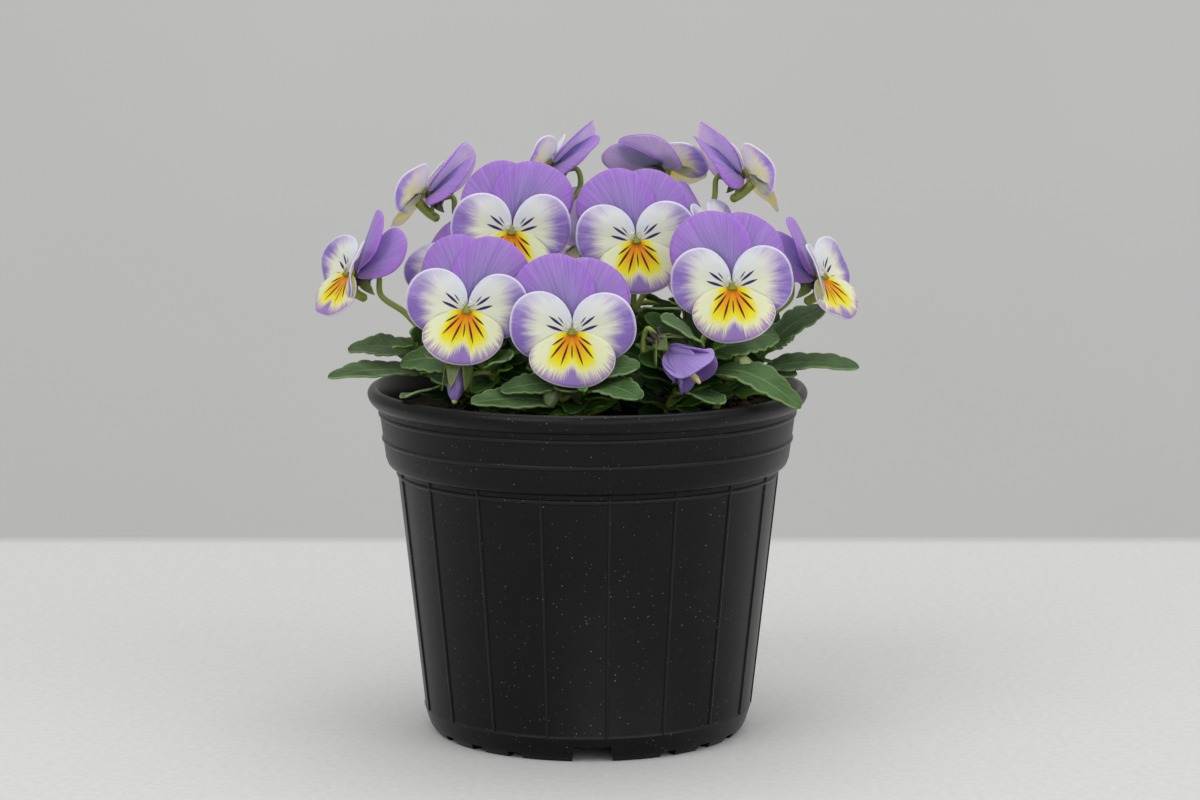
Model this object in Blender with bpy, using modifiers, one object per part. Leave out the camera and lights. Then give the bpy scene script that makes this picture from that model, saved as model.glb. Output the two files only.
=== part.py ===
"""A potted viola, in metres: a ribbed nursery pot, its soil, leafy shoots and two-tone blooms."""

import math
import random
from collections import namedtuple

import bmesh
import bpy
from mathutils import Matrix, Vector, noise
from mathutils.bvhtree import BVHTree

# Pot
POT_STEPS = 32
POT_HEIGHT = 0.0950
LIP_RADIUS = 0.0600
# The rolled lip's profile, as (inwards from the lip radius, down from the top)
LIP_PROFILE = (
    (0.0030, 0.0006), (0.0021, 0.0), (0.0008, 0.0003), (0.0, 0.0018), (0.0005, 0.0035), (0.0016, 0.0048),
)
WALL = 0.0013
COLLAR_TOP = (0.0570, 0.0898)
COLLAR_FOOT = (0.0551, 0.0758)
BODY_TOP = (0.0521, 0.0730)
SHOULDER = (0.0542, 0.0738)
BODY_FOOT = (0.0449, 0.0072)
FOOT_CURVE = (0.0434, 0.0018)
FLOOR_CORNER = 0.0095
FOOT_REST = (0.0396, 0.0420)
FOOT_DRAFT = 0.0006
FLOOR_UNDER = 0.0048
FLOOR_TOP = 0.0062
FLOOR_RADIUS = 0.0412
DRAIN_RADIUS = 0.0045
SIDE_DRAINS = 6
SIDE_DRAIN_RING = 0.0270
BEADS = (0.0877, 0.0808)
BEAD_SIZE = 0.0004
RIB_COUNT = 18
RIB_TURN = math.radians(6.6)
RIB_WIDTH = 0.0009
RIB_STAND = 0.0005
RIB_SUNK = 0.0008
NOTCH_TURN = math.radians(1.9)
WIDE_NOTCH = (0.0118, 0.0044)
NARROW_NOTCH = (0.0050, 0.0017)
NARROW_NOTCH_TURNS = (28.5, 45.0, 61.5)
NOTCH_TAPER = 0.84
NOTCH_REACH = 0.0100

# Soil
SOIL_LEVEL = 0.0876
SOIL_GAP = 0.0004
SOIL_LUMPS = 0.0009
LUMP_SCALE = 150.0
SOIL_RINGS = (0.041, 0.022)
HOLE_DEPTH = 0.0120

# Stems and stalks
STEM_RADIUS = 0.00125
STEM_SHARES = (0.12, 0.45, 0.75, 1.0)
STALK_RADIUS = 0.00085
GAP = 0.0003
HOLE_RADIUS = STEM_RADIUS + GAP + 0.0001
STEM_CURVE = 1.6
STALK_SHARES = (0.35, 0.70)
HOOK_RISE = 0.0012
HOOK_REACH = 0.0044
HOOK_DROP = 0.0050
STALK_BENDS = (0.0, 0.004, -0.004, 0.008, -0.008, 0.012, -0.012)

# Blades
BLADE = 0.0007
LEAF_STALK_SHARE = 0.24
LEAF_STALK_HALF_WIDTH = 0.0006
TOOTH = 0.22
LEAF_SHOULDER = 0.8
LEAF_FULLNESS = 0.7
LEAF_LENGTHS = (0.0180, 0.0260)
LEAF_RISE = (-2, 28)
LEAF_RISE_WITH_HEIGHT = 26
LEAF_TILT = math.radians(42)
LEAF_FRONT = Vector((0.0, -0.6, 0.0))
LOWEST_LEAF = 0.18
LEAF_SPIRAL = 137.5
LEAF_TURNS = (0, 16, -16, 32, -32, 48, -48, 70, -70, 100, -100, 140, -140, 180)
LEAF_SEED = 7
BIG_LEAF_TEETH = 3
SMALL_LEAF_TEETH = 2
SMALL_LEAF_WIDTH = 0.46
SMALL_LEAF_ARCH = 0.10
LEAF_LIFTS = (0.0, 0.0015, -0.0015, 0.003, -0.003, 0.005)

# Blooms, on their own axes: x to the right, y up and z out of the throat
HUB_RADIUS = 0.0019
FACE_HUB = (-0.0011, 0.0006)
UPPER_HUB = (-0.0030, -0.0014)
STALK_JOIN = Vector((0.0, 0.0004, -0.0058))
SPUR_START = Vector((0.0, -0.0037, 0.0009))
SPUR_END = Vector((0.0, -0.0052, -0.0086))
SPUR_RADIUS = 0.0011
SEPAL_TURNS = (90, 158, 216, 324, 382)
SEPAL_LENGTH = 0.0078
SEPAL_LEAN = -30
CALYX_RADIUS = 0.0016
CALYX_SPAN = (-0.0066, -0.0034)
PETAL_COLUMNS = 5
PETAL_SPREAD = math.radians(78)

Petal = namedtuple("Petal", "turn length width level lean curl twist", defaults=(0,))
UPPER_PETALS = (
    Petal(118, 0.0222, 0.0225, -0.0020, -11, -0.0010),
    Petal(63, 0.0221, 0.0220, -0.0020, -16, -0.0010),
)
FACE_PETALS = (
    Petal(172, 0.0172, 0.0180, -0.0003, 7, -0.0006),
    Petal(8, 0.0172, 0.0180, -0.0003, 7, -0.0006),
    Petal(-90, 0.0158, 0.0228, 0.0001, 14, 0.0008),
)
# A bloom seen from its right side: the petals on that side lean away, and the others turn edge-on
TURNED_UPPER = (
    Petal(66, 0.0205, 0.0190, -0.0020, -20, -0.0010),
    Petal(100, 0.0218, 0.0200, -0.0020, -6, -0.0010, -18),
)
TURNED_FACE = (
    Petal(162, 0.0172, 0.0180, -0.0003, 7, -0.0006),
    Petal(8, 0.0172, 0.0180, -0.0003, 28, -0.0006),
    FACE_PETALS[2],
)
# A bloom in profile, its upper petals swept back
PROFILE_UPPER = (
    Petal(62, 0.0215, 0.0225, -0.0020, -28, -0.0010, 6),
    Petal(118, 0.0218, 0.0220, -0.0020, -12, -0.0010, -10),
)
PROFILE_FACE = (
    Petal(172, 0.0172, 0.0180, -0.0003, 10, -0.0006),
    Petal(8, 0.0172, 0.0180, -0.0003, 18, -0.0006),
    FACE_PETALS[2],
)
AWAY_UPPER = (
    Petal(104, 0.0215, 0.0225, -0.0020, -6, -0.0010),
    Petal(56, 0.0205, 0.0200, -0.0020, -16, -0.0010),
)
HALF_OPEN_PETALS = (
    Petal(120, 0.0150, 0.0140, -0.0014, 58, 0.0030),
    Petal(25, 0.0140, 0.0130, -0.0014, 62, 0.0030),
    Petal(-90, 0.0125, 0.0130, -0.0014, 66, 0.0030),
)



def mirrored(petals):
    """The same petals with left and right exchanged."""
    return tuple(petal._replace(turn=180 - petal.turn, twist=-petal.twist) for petal in petals)


FORMS = {
    "open": (UPPER_PETALS, FACE_PETALS),
    "open_right": (mirrored(UPPER_PETALS), FACE_PETALS),
    "turned_left": (TURNED_UPPER, TURNED_FACE),
    "turned_right": (mirrored(TURNED_UPPER), mirrored(TURNED_FACE)),
    "profile_left": (PROFILE_UPPER, PROFILE_FACE),
    "profile_right": (mirrored(PROFILE_UPPER), mirrored(PROFILE_FACE)),
    "away": (AWAY_UPPER, FACE_PETALS),
}

Bloom = namedtuple(
    "Bloom", "name throat azimuth elevation roll size shoot start form", defaults=("open",)
)
BLOOMS = (
    Bloom("bloom_01", (-0.0039, -0.0380, 0.1146), 0, 8, 0, 1.00, "front", 0.75),
    Bloom("bloom_02", (-0.0316, -0.0310, 0.1195), -8, 8, -4, 0.98, "front_left", 0.90, "open_right"),
    Bloom("bloom_03", (0.0383, -0.0260, 0.1251), 3, 8, 2, 1.00, "front_right", 0.90),
    Bloom("bloom_04", (0.0131, -0.0100, 0.1358), 2, 8, 4, 0.98, "middle", 0.85),
    Bloom("bloom_05", (-0.0203, -0.0080, 0.1380), -3, 8, -2, 0.98, "middle_left", 0.90, "open_right"),
    Bloom("bloom_06", (-0.0647, -0.0050, 0.1263), -58, 22, 0, 0.90, "left", 0.85, "turned_left"),
    Bloom("bloom_07", (0.0637, -0.0050, 0.1254), 58, 22, 0, 0.90, "right", 0.85, "turned_right"),
    Bloom("bloom_08", (-0.0464, 0.0290, 0.1455), -104, 26, 0, 0.86, "back_left", 0.90, "profile_left"),
    Bloom("bloom_09", (-0.0117, 0.0368, 0.1532), -102, 30, 0, 0.80, "back_left", 0.70, "profile_left"),
    Bloom("bloom_10", (0.0209, 0.0320, 0.1536), 146, 48, 0, 0.88, "back_right", 0.70, "away"),
    Bloom("bloom_11", (0.0450, 0.0289, 0.1508), 102, 24, 0, 0.90, "back_right", 0.90, "profile_right"),
    Bloom("bloom_12", (-0.0381, 0.0040, 0.1272), -40, 28, 14, 0.86, "middle_left", 0.60),
    Bloom("bloom_13", (0.0345, 0.0075, 0.1372), 66, 20, 0, 0.78, "middle", 0.60),
    Bloom("bloom_14", (0.0030, 0.0540, 0.1300), 176, 12, 0, 0.94, "back", 0.90),
    Bloom("bloom_15", (-0.0300, 0.0480, 0.1180), -152, 14, 0, 0.94, "back", 0.60),
    Bloom("bloom_16", (0.0345, 0.0500, 0.1190), 150, 14, 0, 0.94, "back", 0.75),
)
BUDS = (
    Bloom("opening_bud", (0.0225, -0.0350, 0.1080), 58, -38, 0, 1.00, "front_right", 0.60),
    Bloom("violet_bud", (-0.0344, -0.0290, 0.1005), -20, -72, 0, 1.00, "front_left", 0.60),
)
GREEN_BUDS = (
    Bloom("front_green_bud", (-0.0101, -0.0345, 0.0945), -30, -64, 0, 1.00, "front", 0.60),
    Bloom("right_green_bud", (0.0438, -0.0290, 0.1000), 40, -55, 0, 1.00, "front_right", 0.60),
)
BUD_RADIUS = 0.0024
BUD_LENGTH = 0.0090
GREEN_BUD_RADIUS = 0.0022
GREEN_BUD_SPAN = (-0.0072, 0.0010)
PISTIL = (Vector((0.0, 0.0, -0.0020)), Vector((0.0, -0.0006, 0.0110)))
PISTIL_RADIUS = 0.0011
# Bud sepals as radius and height on the bud's axis: where they root, bend and end
SEPAL_ROOT = (0.0012, -0.0050)
SEPAL_BEND = (0.0030, -0.0030)
SEPAL_TIPS = {"opening_bud": (0.0062, 0.0006), "violet_bud": (0.0034, 0.0040)}
SEPAL_ROOT_HALF = 0.0006
BUD_SEPAL_HALF = 0.0011

Shoot = namedtuple("Shoot", "name root lean reach rise leaves")
SHOOTS = (
    Shoot("front", (-0.002, -0.0230), -95, 0.010, 0.015, 7),
    Shoot("front_left", (-0.0190, -0.0170), -140, 0.014, 0.018, 7),
    Shoot("front_right", (0.0210, -0.0170), -38, 0.013, 0.018, 7),
    Shoot("middle", (0.0080, 0.0010), -10, 0.006, 0.026, 6),
    Shoot("middle_left", (-0.0130, 0.0040), 170, 0.008, 0.026, 6),
    Shoot("left", (-0.0330, 0.0000), 182, 0.013, 0.016, 6),
    Shoot("right", (0.0350, 0.0020), -4, 0.013, 0.016, 6),
    Shoot("back_left", (-0.0220, 0.0210), 128, 0.010, 0.024, 4),
    Shoot("back_right", (0.0240, 0.0210), 48, 0.010, 0.024, 4),
    Shoot("back", (0.0000, 0.0300), 92, 0.010, 0.017, 3),
)

# The large leaves that reach the lip or past it: shoot, share of its stem, tip, width and arch
BigLeaf = namedtuple("BigLeaf", "shoot start tip width arch")
BIG_LEAVES = (
    BigLeaf("left", 0.50, (-0.0701, -0.0100, 0.0985), 0.0120, 0.003),
    BigLeaf("left", 0.85, (-0.0656, 0.0030, 0.1045), 0.0100, 0.003),
    BigLeaf("left", 0.22, (-0.0480, -0.0350, 0.0968), 0.0100, 0.002),
    BigLeaf("front_left", 0.80, (-0.0500, -0.0170, 0.1035), 0.0110, 0.003),
    BigLeaf("front_left", 0.95, (-0.0430, -0.0300, 0.1075), 0.0120, 0.003),
    BigLeaf("right", 0.55, (0.0737, -0.0050, 0.1006), 0.0120, 0.003),
    BigLeaf("front_right", 0.70, (0.0560, -0.0400, 0.0945), 0.0120, 0.006),
    BigLeaf("front_right", 0.35, (0.0345, -0.0455, 0.0965), 0.0110, 0.002),
    BigLeaf("front", 0.30, (-0.0300, -0.0460, 0.0968), 0.0100, 0.002),
    BigLeaf("front", 0.70, (-0.0225, -0.0400, 0.0990), 0.0080, 0.002),
    BigLeaf("front", 0.60, (0.0140, -0.0500, 0.0985), 0.0100, 0.003),
    BigLeaf("right", 0.90, (0.0560, 0.0060, 0.1090), 0.0100, 0.003),
    BigLeaf("front_right", 0.95, (0.0510, -0.0180, 0.1110), 0.0120, 0.003),
    BigLeaf("right", 0.30, (0.0570, -0.0030, 0.0985), 0.0110, 0.002),
    BigLeaf("middle", 0.80, (0.0260, -0.0200, 0.1180), 0.0110, 0.003),
    BigLeaf("back_right", 0.30, (0.0540, 0.0350, 0.1010), 0.0120, 0.004),
    BigLeaf("back_left", 0.30, (-0.0560, 0.0350, 0.1005), 0.0120, 0.004),
    BigLeaf("back", 0.40, (0.0050, 0.0620, 0.1000), 0.0120, 0.005),
    BigLeaf("back", 0.70, (-0.0240, 0.0580, 0.1035), 0.0110, 0.004),
)

MATERIALS = {
    "pot": ("black_polypropylene", (0.012, 0.012, 0.014), 0.45),
    "soil": ("potting_soil", (0.030, 0.020, 0.014), 0.95),
    "green": ("viola_green", (0.060, 0.170, 0.045), 0.55),
    "violet": ("violet_petal", (0.330, 0.190, 0.680), 0.60),
    "cream": ("cream_petal", (0.850, 0.820, 0.560), 0.60),
}

part = bpy.data.collections.new("potted_viola")
helpers = bpy.data.collections.new("cutters")


def start_scene():
    for obj in list(bpy.data.objects):
        bpy.data.objects.remove(obj)
    bpy.context.scene.collection.children.link(part)
    bpy.context.scene.collection.children.link(helpers)
    helpers.hide_render = True


def material(key):
    name, colour, roughness = MATERIALS[key]
    found = bpy.data.materials.get(name)
    if found:
        return found
    made = bpy.data.materials.new(name)
    made.use_nodes = True
    shader = made.node_tree.nodes["Principled BSDF"]
    shader.inputs["Base Color"].default_value = (*colour, 1.0)
    shader.inputs["Roughness"].default_value = roughness
    shader.inputs["Metallic"].default_value = 0.0
    made.diffuse_color = (*colour, 1.0)
    return made


def object_from(name, bm, collection):
    mesh = bpy.data.meshes.new(name)
    bm.to_mesh(mesh)
    bm.free()
    obj = bpy.data.objects.new(name, mesh)
    collection.objects.link(obj)
    return obj


def finish(obj, key):
    obj.data.materials.clear()
    obj.data.materials.append(material(key))
    obj.data.shade_smooth()
    obj.data.set_sharp_from_angle(angle=math.radians(40))


def applied(obj):
    """The object with its modifiers made part of its mesh."""
    graph = bpy.context.evaluated_depsgraph_get()
    mesh = bpy.data.meshes.new_from_object(obj.evaluated_get(graph))
    old = obj.data
    obj.modifiers.clear()
    obj.data = mesh
    if isinstance(old, bpy.types.Mesh):
        bpy.data.meshes.remove(old)
    return obj


def boolean(obj, operation, collection):
    modifier = obj.modifiers.new(operation.lower(), "BOOLEAN")
    modifier.operation = operation
    modifier.solver = "MANIFOLD"
    modifier.operand_type = "COLLECTION"
    modifier.collection = collection
    applied(obj)
    for helper in list(collection.objects):
        bpy.data.objects.remove(helper)
    bpy.data.collections.remove(collection)


def helper_collection(name):
    made = bpy.data.collections.new(name)
    helpers.children.link(made)
    return made


def turned(name, outline, collection):
    """A solid of revolution from a closed (radius, z) outline, or from one whose ends are on the axis."""
    bm = bmesh.new()
    verts = [bm.verts.new((radius, 0.0, z)) for radius, z in outline]
    for first, second in zip(verts, verts[1:]):
        bm.edges.new((first, second))
    if outline[0][0] > 0.0:
        bm.edges.new((verts[-1], verts[0]))
    obj = object_from(name, bm, collection)
    screw = obj.modifiers.new("turn", "SCREW")
    screw.steps = screw.render_steps = POT_STEPS
    screw.use_merge_vertices = True
    screw.merge_threshold = 0.00001
    return applied(obj)


def along(line, z):
    """Radius at height z on the straight line between two (radius, z) points."""
    (r1, z1), (r2, z2) = line
    return r1 + (r2 - r1) * (z - z1) / (z2 - z1)


def bead(line, z):
    """A thin raised ring on a straight wall."""
    return [
        (along(line, z + BEAD_SIZE), z + BEAD_SIZE),
        (along(line, z) + BEAD_SIZE, z),
        (along(line, z - BEAD_SIZE), z - BEAD_SIZE),
    ]


def inner_wall():
    """The pot's inner side, from the floor's edge up to under the lip."""
    return [
        (FLOOR_RADIUS, FLOOR_TOP),
        (along((BODY_TOP, BODY_FOOT), FLOOR_CORNER) - WALL, FLOOR_CORNER),
        (BODY_TOP[0] - WALL, BODY_TOP[1] + WALL),
        (COLLAR_FOOT[0] - WALL, COLLAR_FOOT[1] + WALL),
        (COLLAR_TOP[0] - WALL, COLLAR_TOP[1]),
    ]


def pot_outline():
    """The wall's closed outline: down its outer side, under the floor and up its inner side."""
    lip = [(LIP_RADIUS - inwards, POT_HEIGHT - down) for inwards, down in LIP_PROFILE]
    beads = [point for z in BEADS for point in bead((COLLAR_TOP, COLLAR_FOOT), z)]
    foot = [
        BODY_FOOT,
        (BODY_FOOT[0] + BEAD_SIZE / 2, BODY_FOOT[1] - BEAD_SIZE),
        FOOT_CURVE,
        (FOOT_REST[1], 0.0),
        (FOOT_REST[0], 0.0),
        (FOOT_REST[0] - FOOT_DRAFT, FLOOR_UNDER),
        (DRAIN_RADIUS, FLOOR_UNDER),
        (DRAIN_RADIUS, FLOOR_TOP),
    ]
    return lip + [COLLAR_TOP, *beads, COLLAR_FOOT, SHOULDER, BODY_TOP] + foot + inner_wall()


def box(name, size, transform, collection):
    bm = bmesh.new()
    bmesh.ops.create_cube(bm, size=1.0)
    bmesh.ops.scale(bm, vec=size, verts=bm.verts)
    bmesh.ops.transform(bm, matrix=transform, verts=bm.verts)
    return object_from(name, bm, collection)


def cylinder(name, radius, bottom, top, place, collection):
    bm = bmesh.new()
    bmesh.ops.create_cone(
        bm, cap_ends=True, segments=7, radius1=radius, radius2=radius, depth=top - bottom
    )
    shift = Vector((place[0], place[1], (bottom + top) / 2))
    bmesh.ops.translate(bm, vec=shift, verts=bm.verts)
    return object_from(name, bm, collection)


def make_pot():
    pot = turned("pot", pot_outline(), part)
    ribs = helper_collection("ribs")
    top, foot = Vector((BODY_TOP[0], 0, BODY_TOP[1])), Vector((BODY_FOOT[0], 0, BODY_FOOT[1]))
    slope = math.atan2(top.x - foot.x, top.z - foot.z)
    middle = (top + foot) / 2 + Vector(((RIB_STAND - RIB_SUNK) / 2, 0, 0))
    size = (RIB_STAND + RIB_SUNK, RIB_WIDTH, (top - foot).length + RIB_SUNK)
    lean = Matrix.Translation(middle) @ Matrix.Rotation(slope, 4, "Y")
    for index in range(RIB_COUNT):
        turn = Matrix.Rotation(RIB_TURN - math.pi / 2 + index * math.tau / RIB_COUNT, 4, "Z")
        box("rib", size, turn @ lean, ribs)
    boolean(pot, "UNION", ribs)
    cuts = helper_collection("drain_cuts")
    for quarter in range(4):
        start = NOTCH_TURN + quarter * math.pi / 2
        notch(start, WIDE_NOTCH, cuts)
        for turn in NARROW_NOTCH_TURNS:
            notch(start + math.radians(turn), NARROW_NOTCH, cuts)
    for index in range(SIDE_DRAINS):
        angle = index * math.tau / SIDE_DRAINS
        place = (SIDE_DRAIN_RING * math.cos(angle), SIDE_DRAIN_RING * math.sin(angle))
        cylinder("drain", DRAIN_RADIUS, FLOOR_UNDER - WALL, FLOOR_TOP + WALL, place, cuts)
    boolean(pot, "DIFFERENCE", cuts)
    finish(pot, "pot")
    return pot


def notch(angle, size, collection):
    """A cutter for a drain notch through the foot ring, with sloping ends."""
    width, height = size
    bm = bmesh.new()
    bmesh.ops.create_cube(bm, size=1.0)
    bmesh.ops.scale(bm, vec=(NOTCH_REACH, width, 2 * height), verts=bm.verts)
    for vert in bm.verts:
        if vert.co.z > 0:
            vert.co.y *= NOTCH_TAPER
    bmesh.ops.translate(bm, vec=(FOOT_REST[1], 0, 0), verts=bm.verts)
    bmesh.ops.rotate(bm, matrix=Matrix.Rotation(angle - math.pi / 2, 3, "Z"), verts=bm.verts)
    object_from("notch", bm, collection)


def make_soil():
    wall = [(radius - SOIL_GAP, z) for radius, z in inner_wall()]
    wall = [(wall[0][0], FLOOR_TOP + SOIL_GAP)] + wall[1:-1]
    edge = (along((COLLAR_TOP, COLLAR_FOOT), SOIL_LEVEL) - WALL - SOIL_GAP, SOIL_LEVEL)
    outline = [(0.0, SOIL_LEVEL)] + [(r, SOIL_LEVEL) for r in reversed(SOIL_RINGS)]
    outline += [edge] + wall[::-1] + [(0.0, FLOOR_TOP + SOIL_GAP)]
    soil = turned("potting_soil", outline, part)
    for vert in soil.data.vertices:
        if vert.co.z > SOIL_LEVEL - SOIL_GAP and vert.co.xy.length < edge[0] - SOIL_GAP:
            vert.co.z += SOIL_LUMPS * noise.noise(vert.co * LUMP_SCALE)
    holes = helper_collection("stem_holes")
    for shoot in SHOOTS:
        bottom, top = SOIL_LEVEL - HOLE_DEPTH, SOIL_LEVEL + 2 * SOIL_LUMPS
        cylinder("hole", HOLE_RADIUS, bottom, top, shoot.root, holes)
    boolean(soil, "DIFFERENCE", holes)
    finish(soil, "soil")
    return soil


def tube(name, points, radius, end_radius, sides, collection):
    """A tapering stem along these points, as a mesh with welded caps."""
    curve = bpy.data.curves.new(name, "CURVE")
    curve.dimensions = "3D"
    curve.bevel_depth = 1.0
    curve.bevel_resolution = (sides - 4) // 2
    curve.use_fill_caps = True
    spline = curve.splines.new("POLY")
    spline.points.add(len(points) - 1)
    for index, (point, place) in enumerate(zip(spline.points, points)):
        share = index / (len(points) - 1)
        point.co = (*place, 1.0)
        point.radius = radius + (end_radius - radius) * share
    obj = bpy.data.objects.new(name, curve)
    collection.objects.link(obj)
    graph = bpy.context.evaluated_depsgraph_get()
    mesh = bpy.data.meshes.new_from_object(obj.evaluated_get(graph))
    bpy.data.objects.remove(obj)
    bpy.data.curves.remove(curve)
    bm = bmesh.new()
    bm.from_mesh(mesh)
    bpy.data.meshes.remove(mesh)
    bmesh.ops.remove_doubles(bm, verts=bm.verts, dist=0.000001)
    bmesh.ops.recalc_face_normals(bm, faces=bm.faces)
    return object_from(name, bm, collection)


def blade(name, columns, rows, surface, thickness, collection):
    """A thin closed solid: a grid laid on surface(across, along), with the same triangles on both faces."""
    bm = bmesh.new()
    bmesh.ops.create_grid(bm, x_segments=columns, y_segments=rows, size=1.0)
    for vert in bm.verts:
        vert.co = surface(vert.co.x, (vert.co.y + 1.0) / 2.0)
    bmesh.ops.remove_doubles(bm, verts=bm.verts, dist=0.00001)
    bmesh.ops.triangulate(bm, faces=bm.faces)
    bm.normal_update()
    middle = [vert.co - vert.normal * thickness / 2 for vert in bm.verts]
    for vert, place in zip(bm.verts, middle):
        vert.co = place
    bmesh.ops.solidify(bm, geom=bm.faces[:], thickness=-thickness)
    bmesh.ops.recalc_face_normals(bm, faces=bm.faces)
    return object_from(name, bm, collection)


def petal_surface(petal, size, place):
    """A rounded petal: an ellipse through the throat, leaning from the bloom's plane, curled and twisted."""
    length, width = petal.length * size, petal.width * size
    lean, turn, twist = math.radians(petal.lean), math.radians(petal.turn), math.radians(petal.twist)

    def surface(across, share):
        angle = across * PETAL_SPREAD
        squash = (length / width) ** 2
        reach = length * math.cos(angle) / (math.cos(angle) ** 2 + squash * math.sin(angle) ** 2)
        forward = share * reach * math.cos(angle)
        side = share * reach * math.sin(angle)
        rise = petal.curl * (2 * side / width) ** 2
        side, rise = (
            side * math.cos(twist) - rise * math.sin(twist),
            side * math.sin(twist) + rise * math.cos(twist),
        )
        out = forward * math.cos(lean) - rise * math.sin(lean)
        height = forward * math.sin(lean) + rise * math.cos(lean) + petal.level
        x = out * math.cos(turn) - side * math.sin(turn)
        y = out * math.sin(turn) + side * math.cos(turn)
        return place @ Vector((x, y, height))

    return surface


def leaf_half_width(share, width, teeth):
    """Half the width of a blunt-toothed leaf on its stalk, from base to tip."""
    if share < LEAF_STALK_SHARE + 0.001:
        return LEAF_STALK_HALF_WIDTH
    s = (share - LEAF_STALK_SHARE) / (1.0 - LEAF_STALK_SHARE)
    wave = 0.5 + 0.5 * math.cos(math.tau * s * teeth)
    outline = math.sin(math.pi * s**LEAF_SHOULDER) ** LEAF_FULLNESS
    return width / 2 * outline * (1.0 - TOOTH * wave)


def leaf_surface(base, tip, width, arch, teeth):
    """A leaf from base to tip, rolled so that its upper side also faces outwards and to the front."""
    span = tip - base
    level = span.cross(Vector((0, 0, 1))).normalized()
    up = level.cross(span).normalized()
    outward = Vector((base.x + tip.x, base.y + tip.y, 0)).normalized()
    light = (outward + LEAF_FRONT).normalized()
    tilt = -LEAF_TILT * level.dot(light)
    side = level * math.cos(tilt) + up * math.sin(tilt)
    up = side.cross(span).normalized()
    steps = 2 * teeth

    def surface(across, share):
        row = round(share * (steps + 1))
        if row == 0:
            place = 0.0
        else:
            place = LEAF_STALK_SHARE + (1.0 - LEAF_STALK_SHARE) * (row - 1) / steps
        half = leaf_half_width(place, width, teeth) if row <= steps else 0.0
        centre = base + span * place + up * arch * math.sin(math.pi * place)
        return centre + side * across * half

    return surface


def bloom_frame(bloom):
    """The bloom's own axes in the world: its throat, and its right, up and outward directions."""
    azimuth, elevation = math.radians(bloom.azimuth), math.radians(bloom.elevation)
    right = Vector((math.cos(azimuth), math.sin(azimuth), 0))
    outward = Vector(
        (
            math.sin(azimuth) * math.cos(elevation),
            -math.cos(azimuth) * math.cos(elevation),
            math.sin(elevation),
        )
    )
    up = outward.cross(right)
    axes = Matrix((right, up, outward)).transposed().to_4x4()
    roll = Matrix.Rotation(math.radians(bloom.roll), 4, "Z")
    return Matrix.Translation(Vector(bloom.throat)) @ axes @ roll


def hub(name, span, radius, end_radius, sides, place, collection):
    """A short round core on the bloom's axis."""
    bm = bmesh.new()
    bmesh.ops.create_cone(
        bm, cap_ends=True, segments=sides, radius1=end_radius, radius2=radius, depth=span[1] - span[0]
    )
    bmesh.ops.translate(bm, vec=(0, 0, (span[0] + span[1]) / 2), verts=bm.verts)
    bmesh.ops.transform(bm, matrix=place, verts=bm.verts)
    return object_from(name, bm, collection)


class Clearance:
    """Keeps the surface of everything that stands, so that a new piece can be tried against other nodes."""

    def __init__(self):
        self.standing = []

    def add(self, node, obj):
        self.standing.append((node, *self.read(obj)))

    def read(self, obj):
        bm = bmesh.new()
        bm.from_mesh(obj.data)
        points = [vert.co.copy() for vert in bm.verts]
        low = Vector([min(p[i] for p in points) for i in range(3)])
        high = Vector([max(p[i] for p in points) for i in range(3)])
        tree = BVHTree.FromBMesh(bm)
        bm.free()
        return low, high, tree

    def crossed(self, own, obj):
        """The first group outside these own groups that this piece would cross, if any."""
        low, high, tree = self.read(obj)
        for other, other_low, other_high, other_tree in self.standing:
            if other in own:
                continue
            if any(low[i] > other_high[i] or high[i] < other_low[i] for i in range(3)):
                continue
            if tree.overlap(other_tree):
                return other
        return None


clearance = Clearance()


def fused(name, pieces, key):
    """One body from these pieces: the first takes the rest in by one union."""
    body = pieces.objects[0]
    pieces.objects.unlink(body)
    part.objects.link(body)
    body.name = name
    boolean(body, "UNION", pieces)
    finish(body, key)
    return body


def make_bloom(bloom):
    place = bloom_frame(bloom)
    upper = helper_collection(bloom.name + "_upper")
    face = helper_collection(bloom.name + "_face")
    hub("hub", UPPER_HUB, HUB_RADIUS, HUB_RADIUS, 6, place, upper)
    hub("hub", FACE_HUB, HUB_RADIUS, HUB_RADIUS, 6, place, face)
    upper_petals, face_petals = FORMS[bloom.form]
    for petal in upper_petals:
        blade("petal", PETAL_COLUMNS, 1, petal_surface(petal, bloom.size, place), BLADE, upper)
    for petal in face_petals:
        blade("petal", PETAL_COLUMNS, 1, petal_surface(petal, bloom.size, place), BLADE, face)
    spur = [place @ SPUR_START, place @ SPUR_END]
    tube("spur", spur, SPUR_RADIUS, SPUR_RADIUS * 0.8, 4, face)
    for label, pieces, key in (("upper_petals", upper, "violet"), ("face_petals", face, "cream")):
        for obj in pieces.objects:
            report_crossing(f"{bloom.name}_{label}", bloom.name, obj)
        for obj in pieces.objects:
            clearance.add(bloom.name, obj)
        fused(f"{bloom.name}_{label}", pieces, key)


def make_bud(bud):
    place = bloom_frame(bud)
    pieces = helper_collection(bud.name)
    hub("hub", UPPER_HUB, HUB_RADIUS, HUB_RADIUS, 6, place, pieces)
    if bud.name == "opening_bud":
        for petal in HALF_OPEN_PETALS:
            blade("petal", PETAL_COLUMNS, 1, petal_surface(petal, bud.size, place), BLADE, pieces)
        pistil = [place @ point for point in PISTIL]
        tube("pistil", pistil, PISTIL_RADIUS * 0.8, PISTIL_RADIUS, 4, pieces)
    else:
        points = [Vector((0, 0, UPPER_HUB[0] + BUD_LENGTH * share)) for share in (0.1, 0.4, 0.7, 1.0)]
        tube("bud", [place @ point for point in points], BUD_RADIUS, BUD_RADIUS * 0.35, 8, pieces)
    for obj in pieces.objects:
        report_crossing(bud.name, bud.name, obj)
        clearance.add(bud.name, obj)
    fused(bud.name, pieces, "violet")


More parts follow.
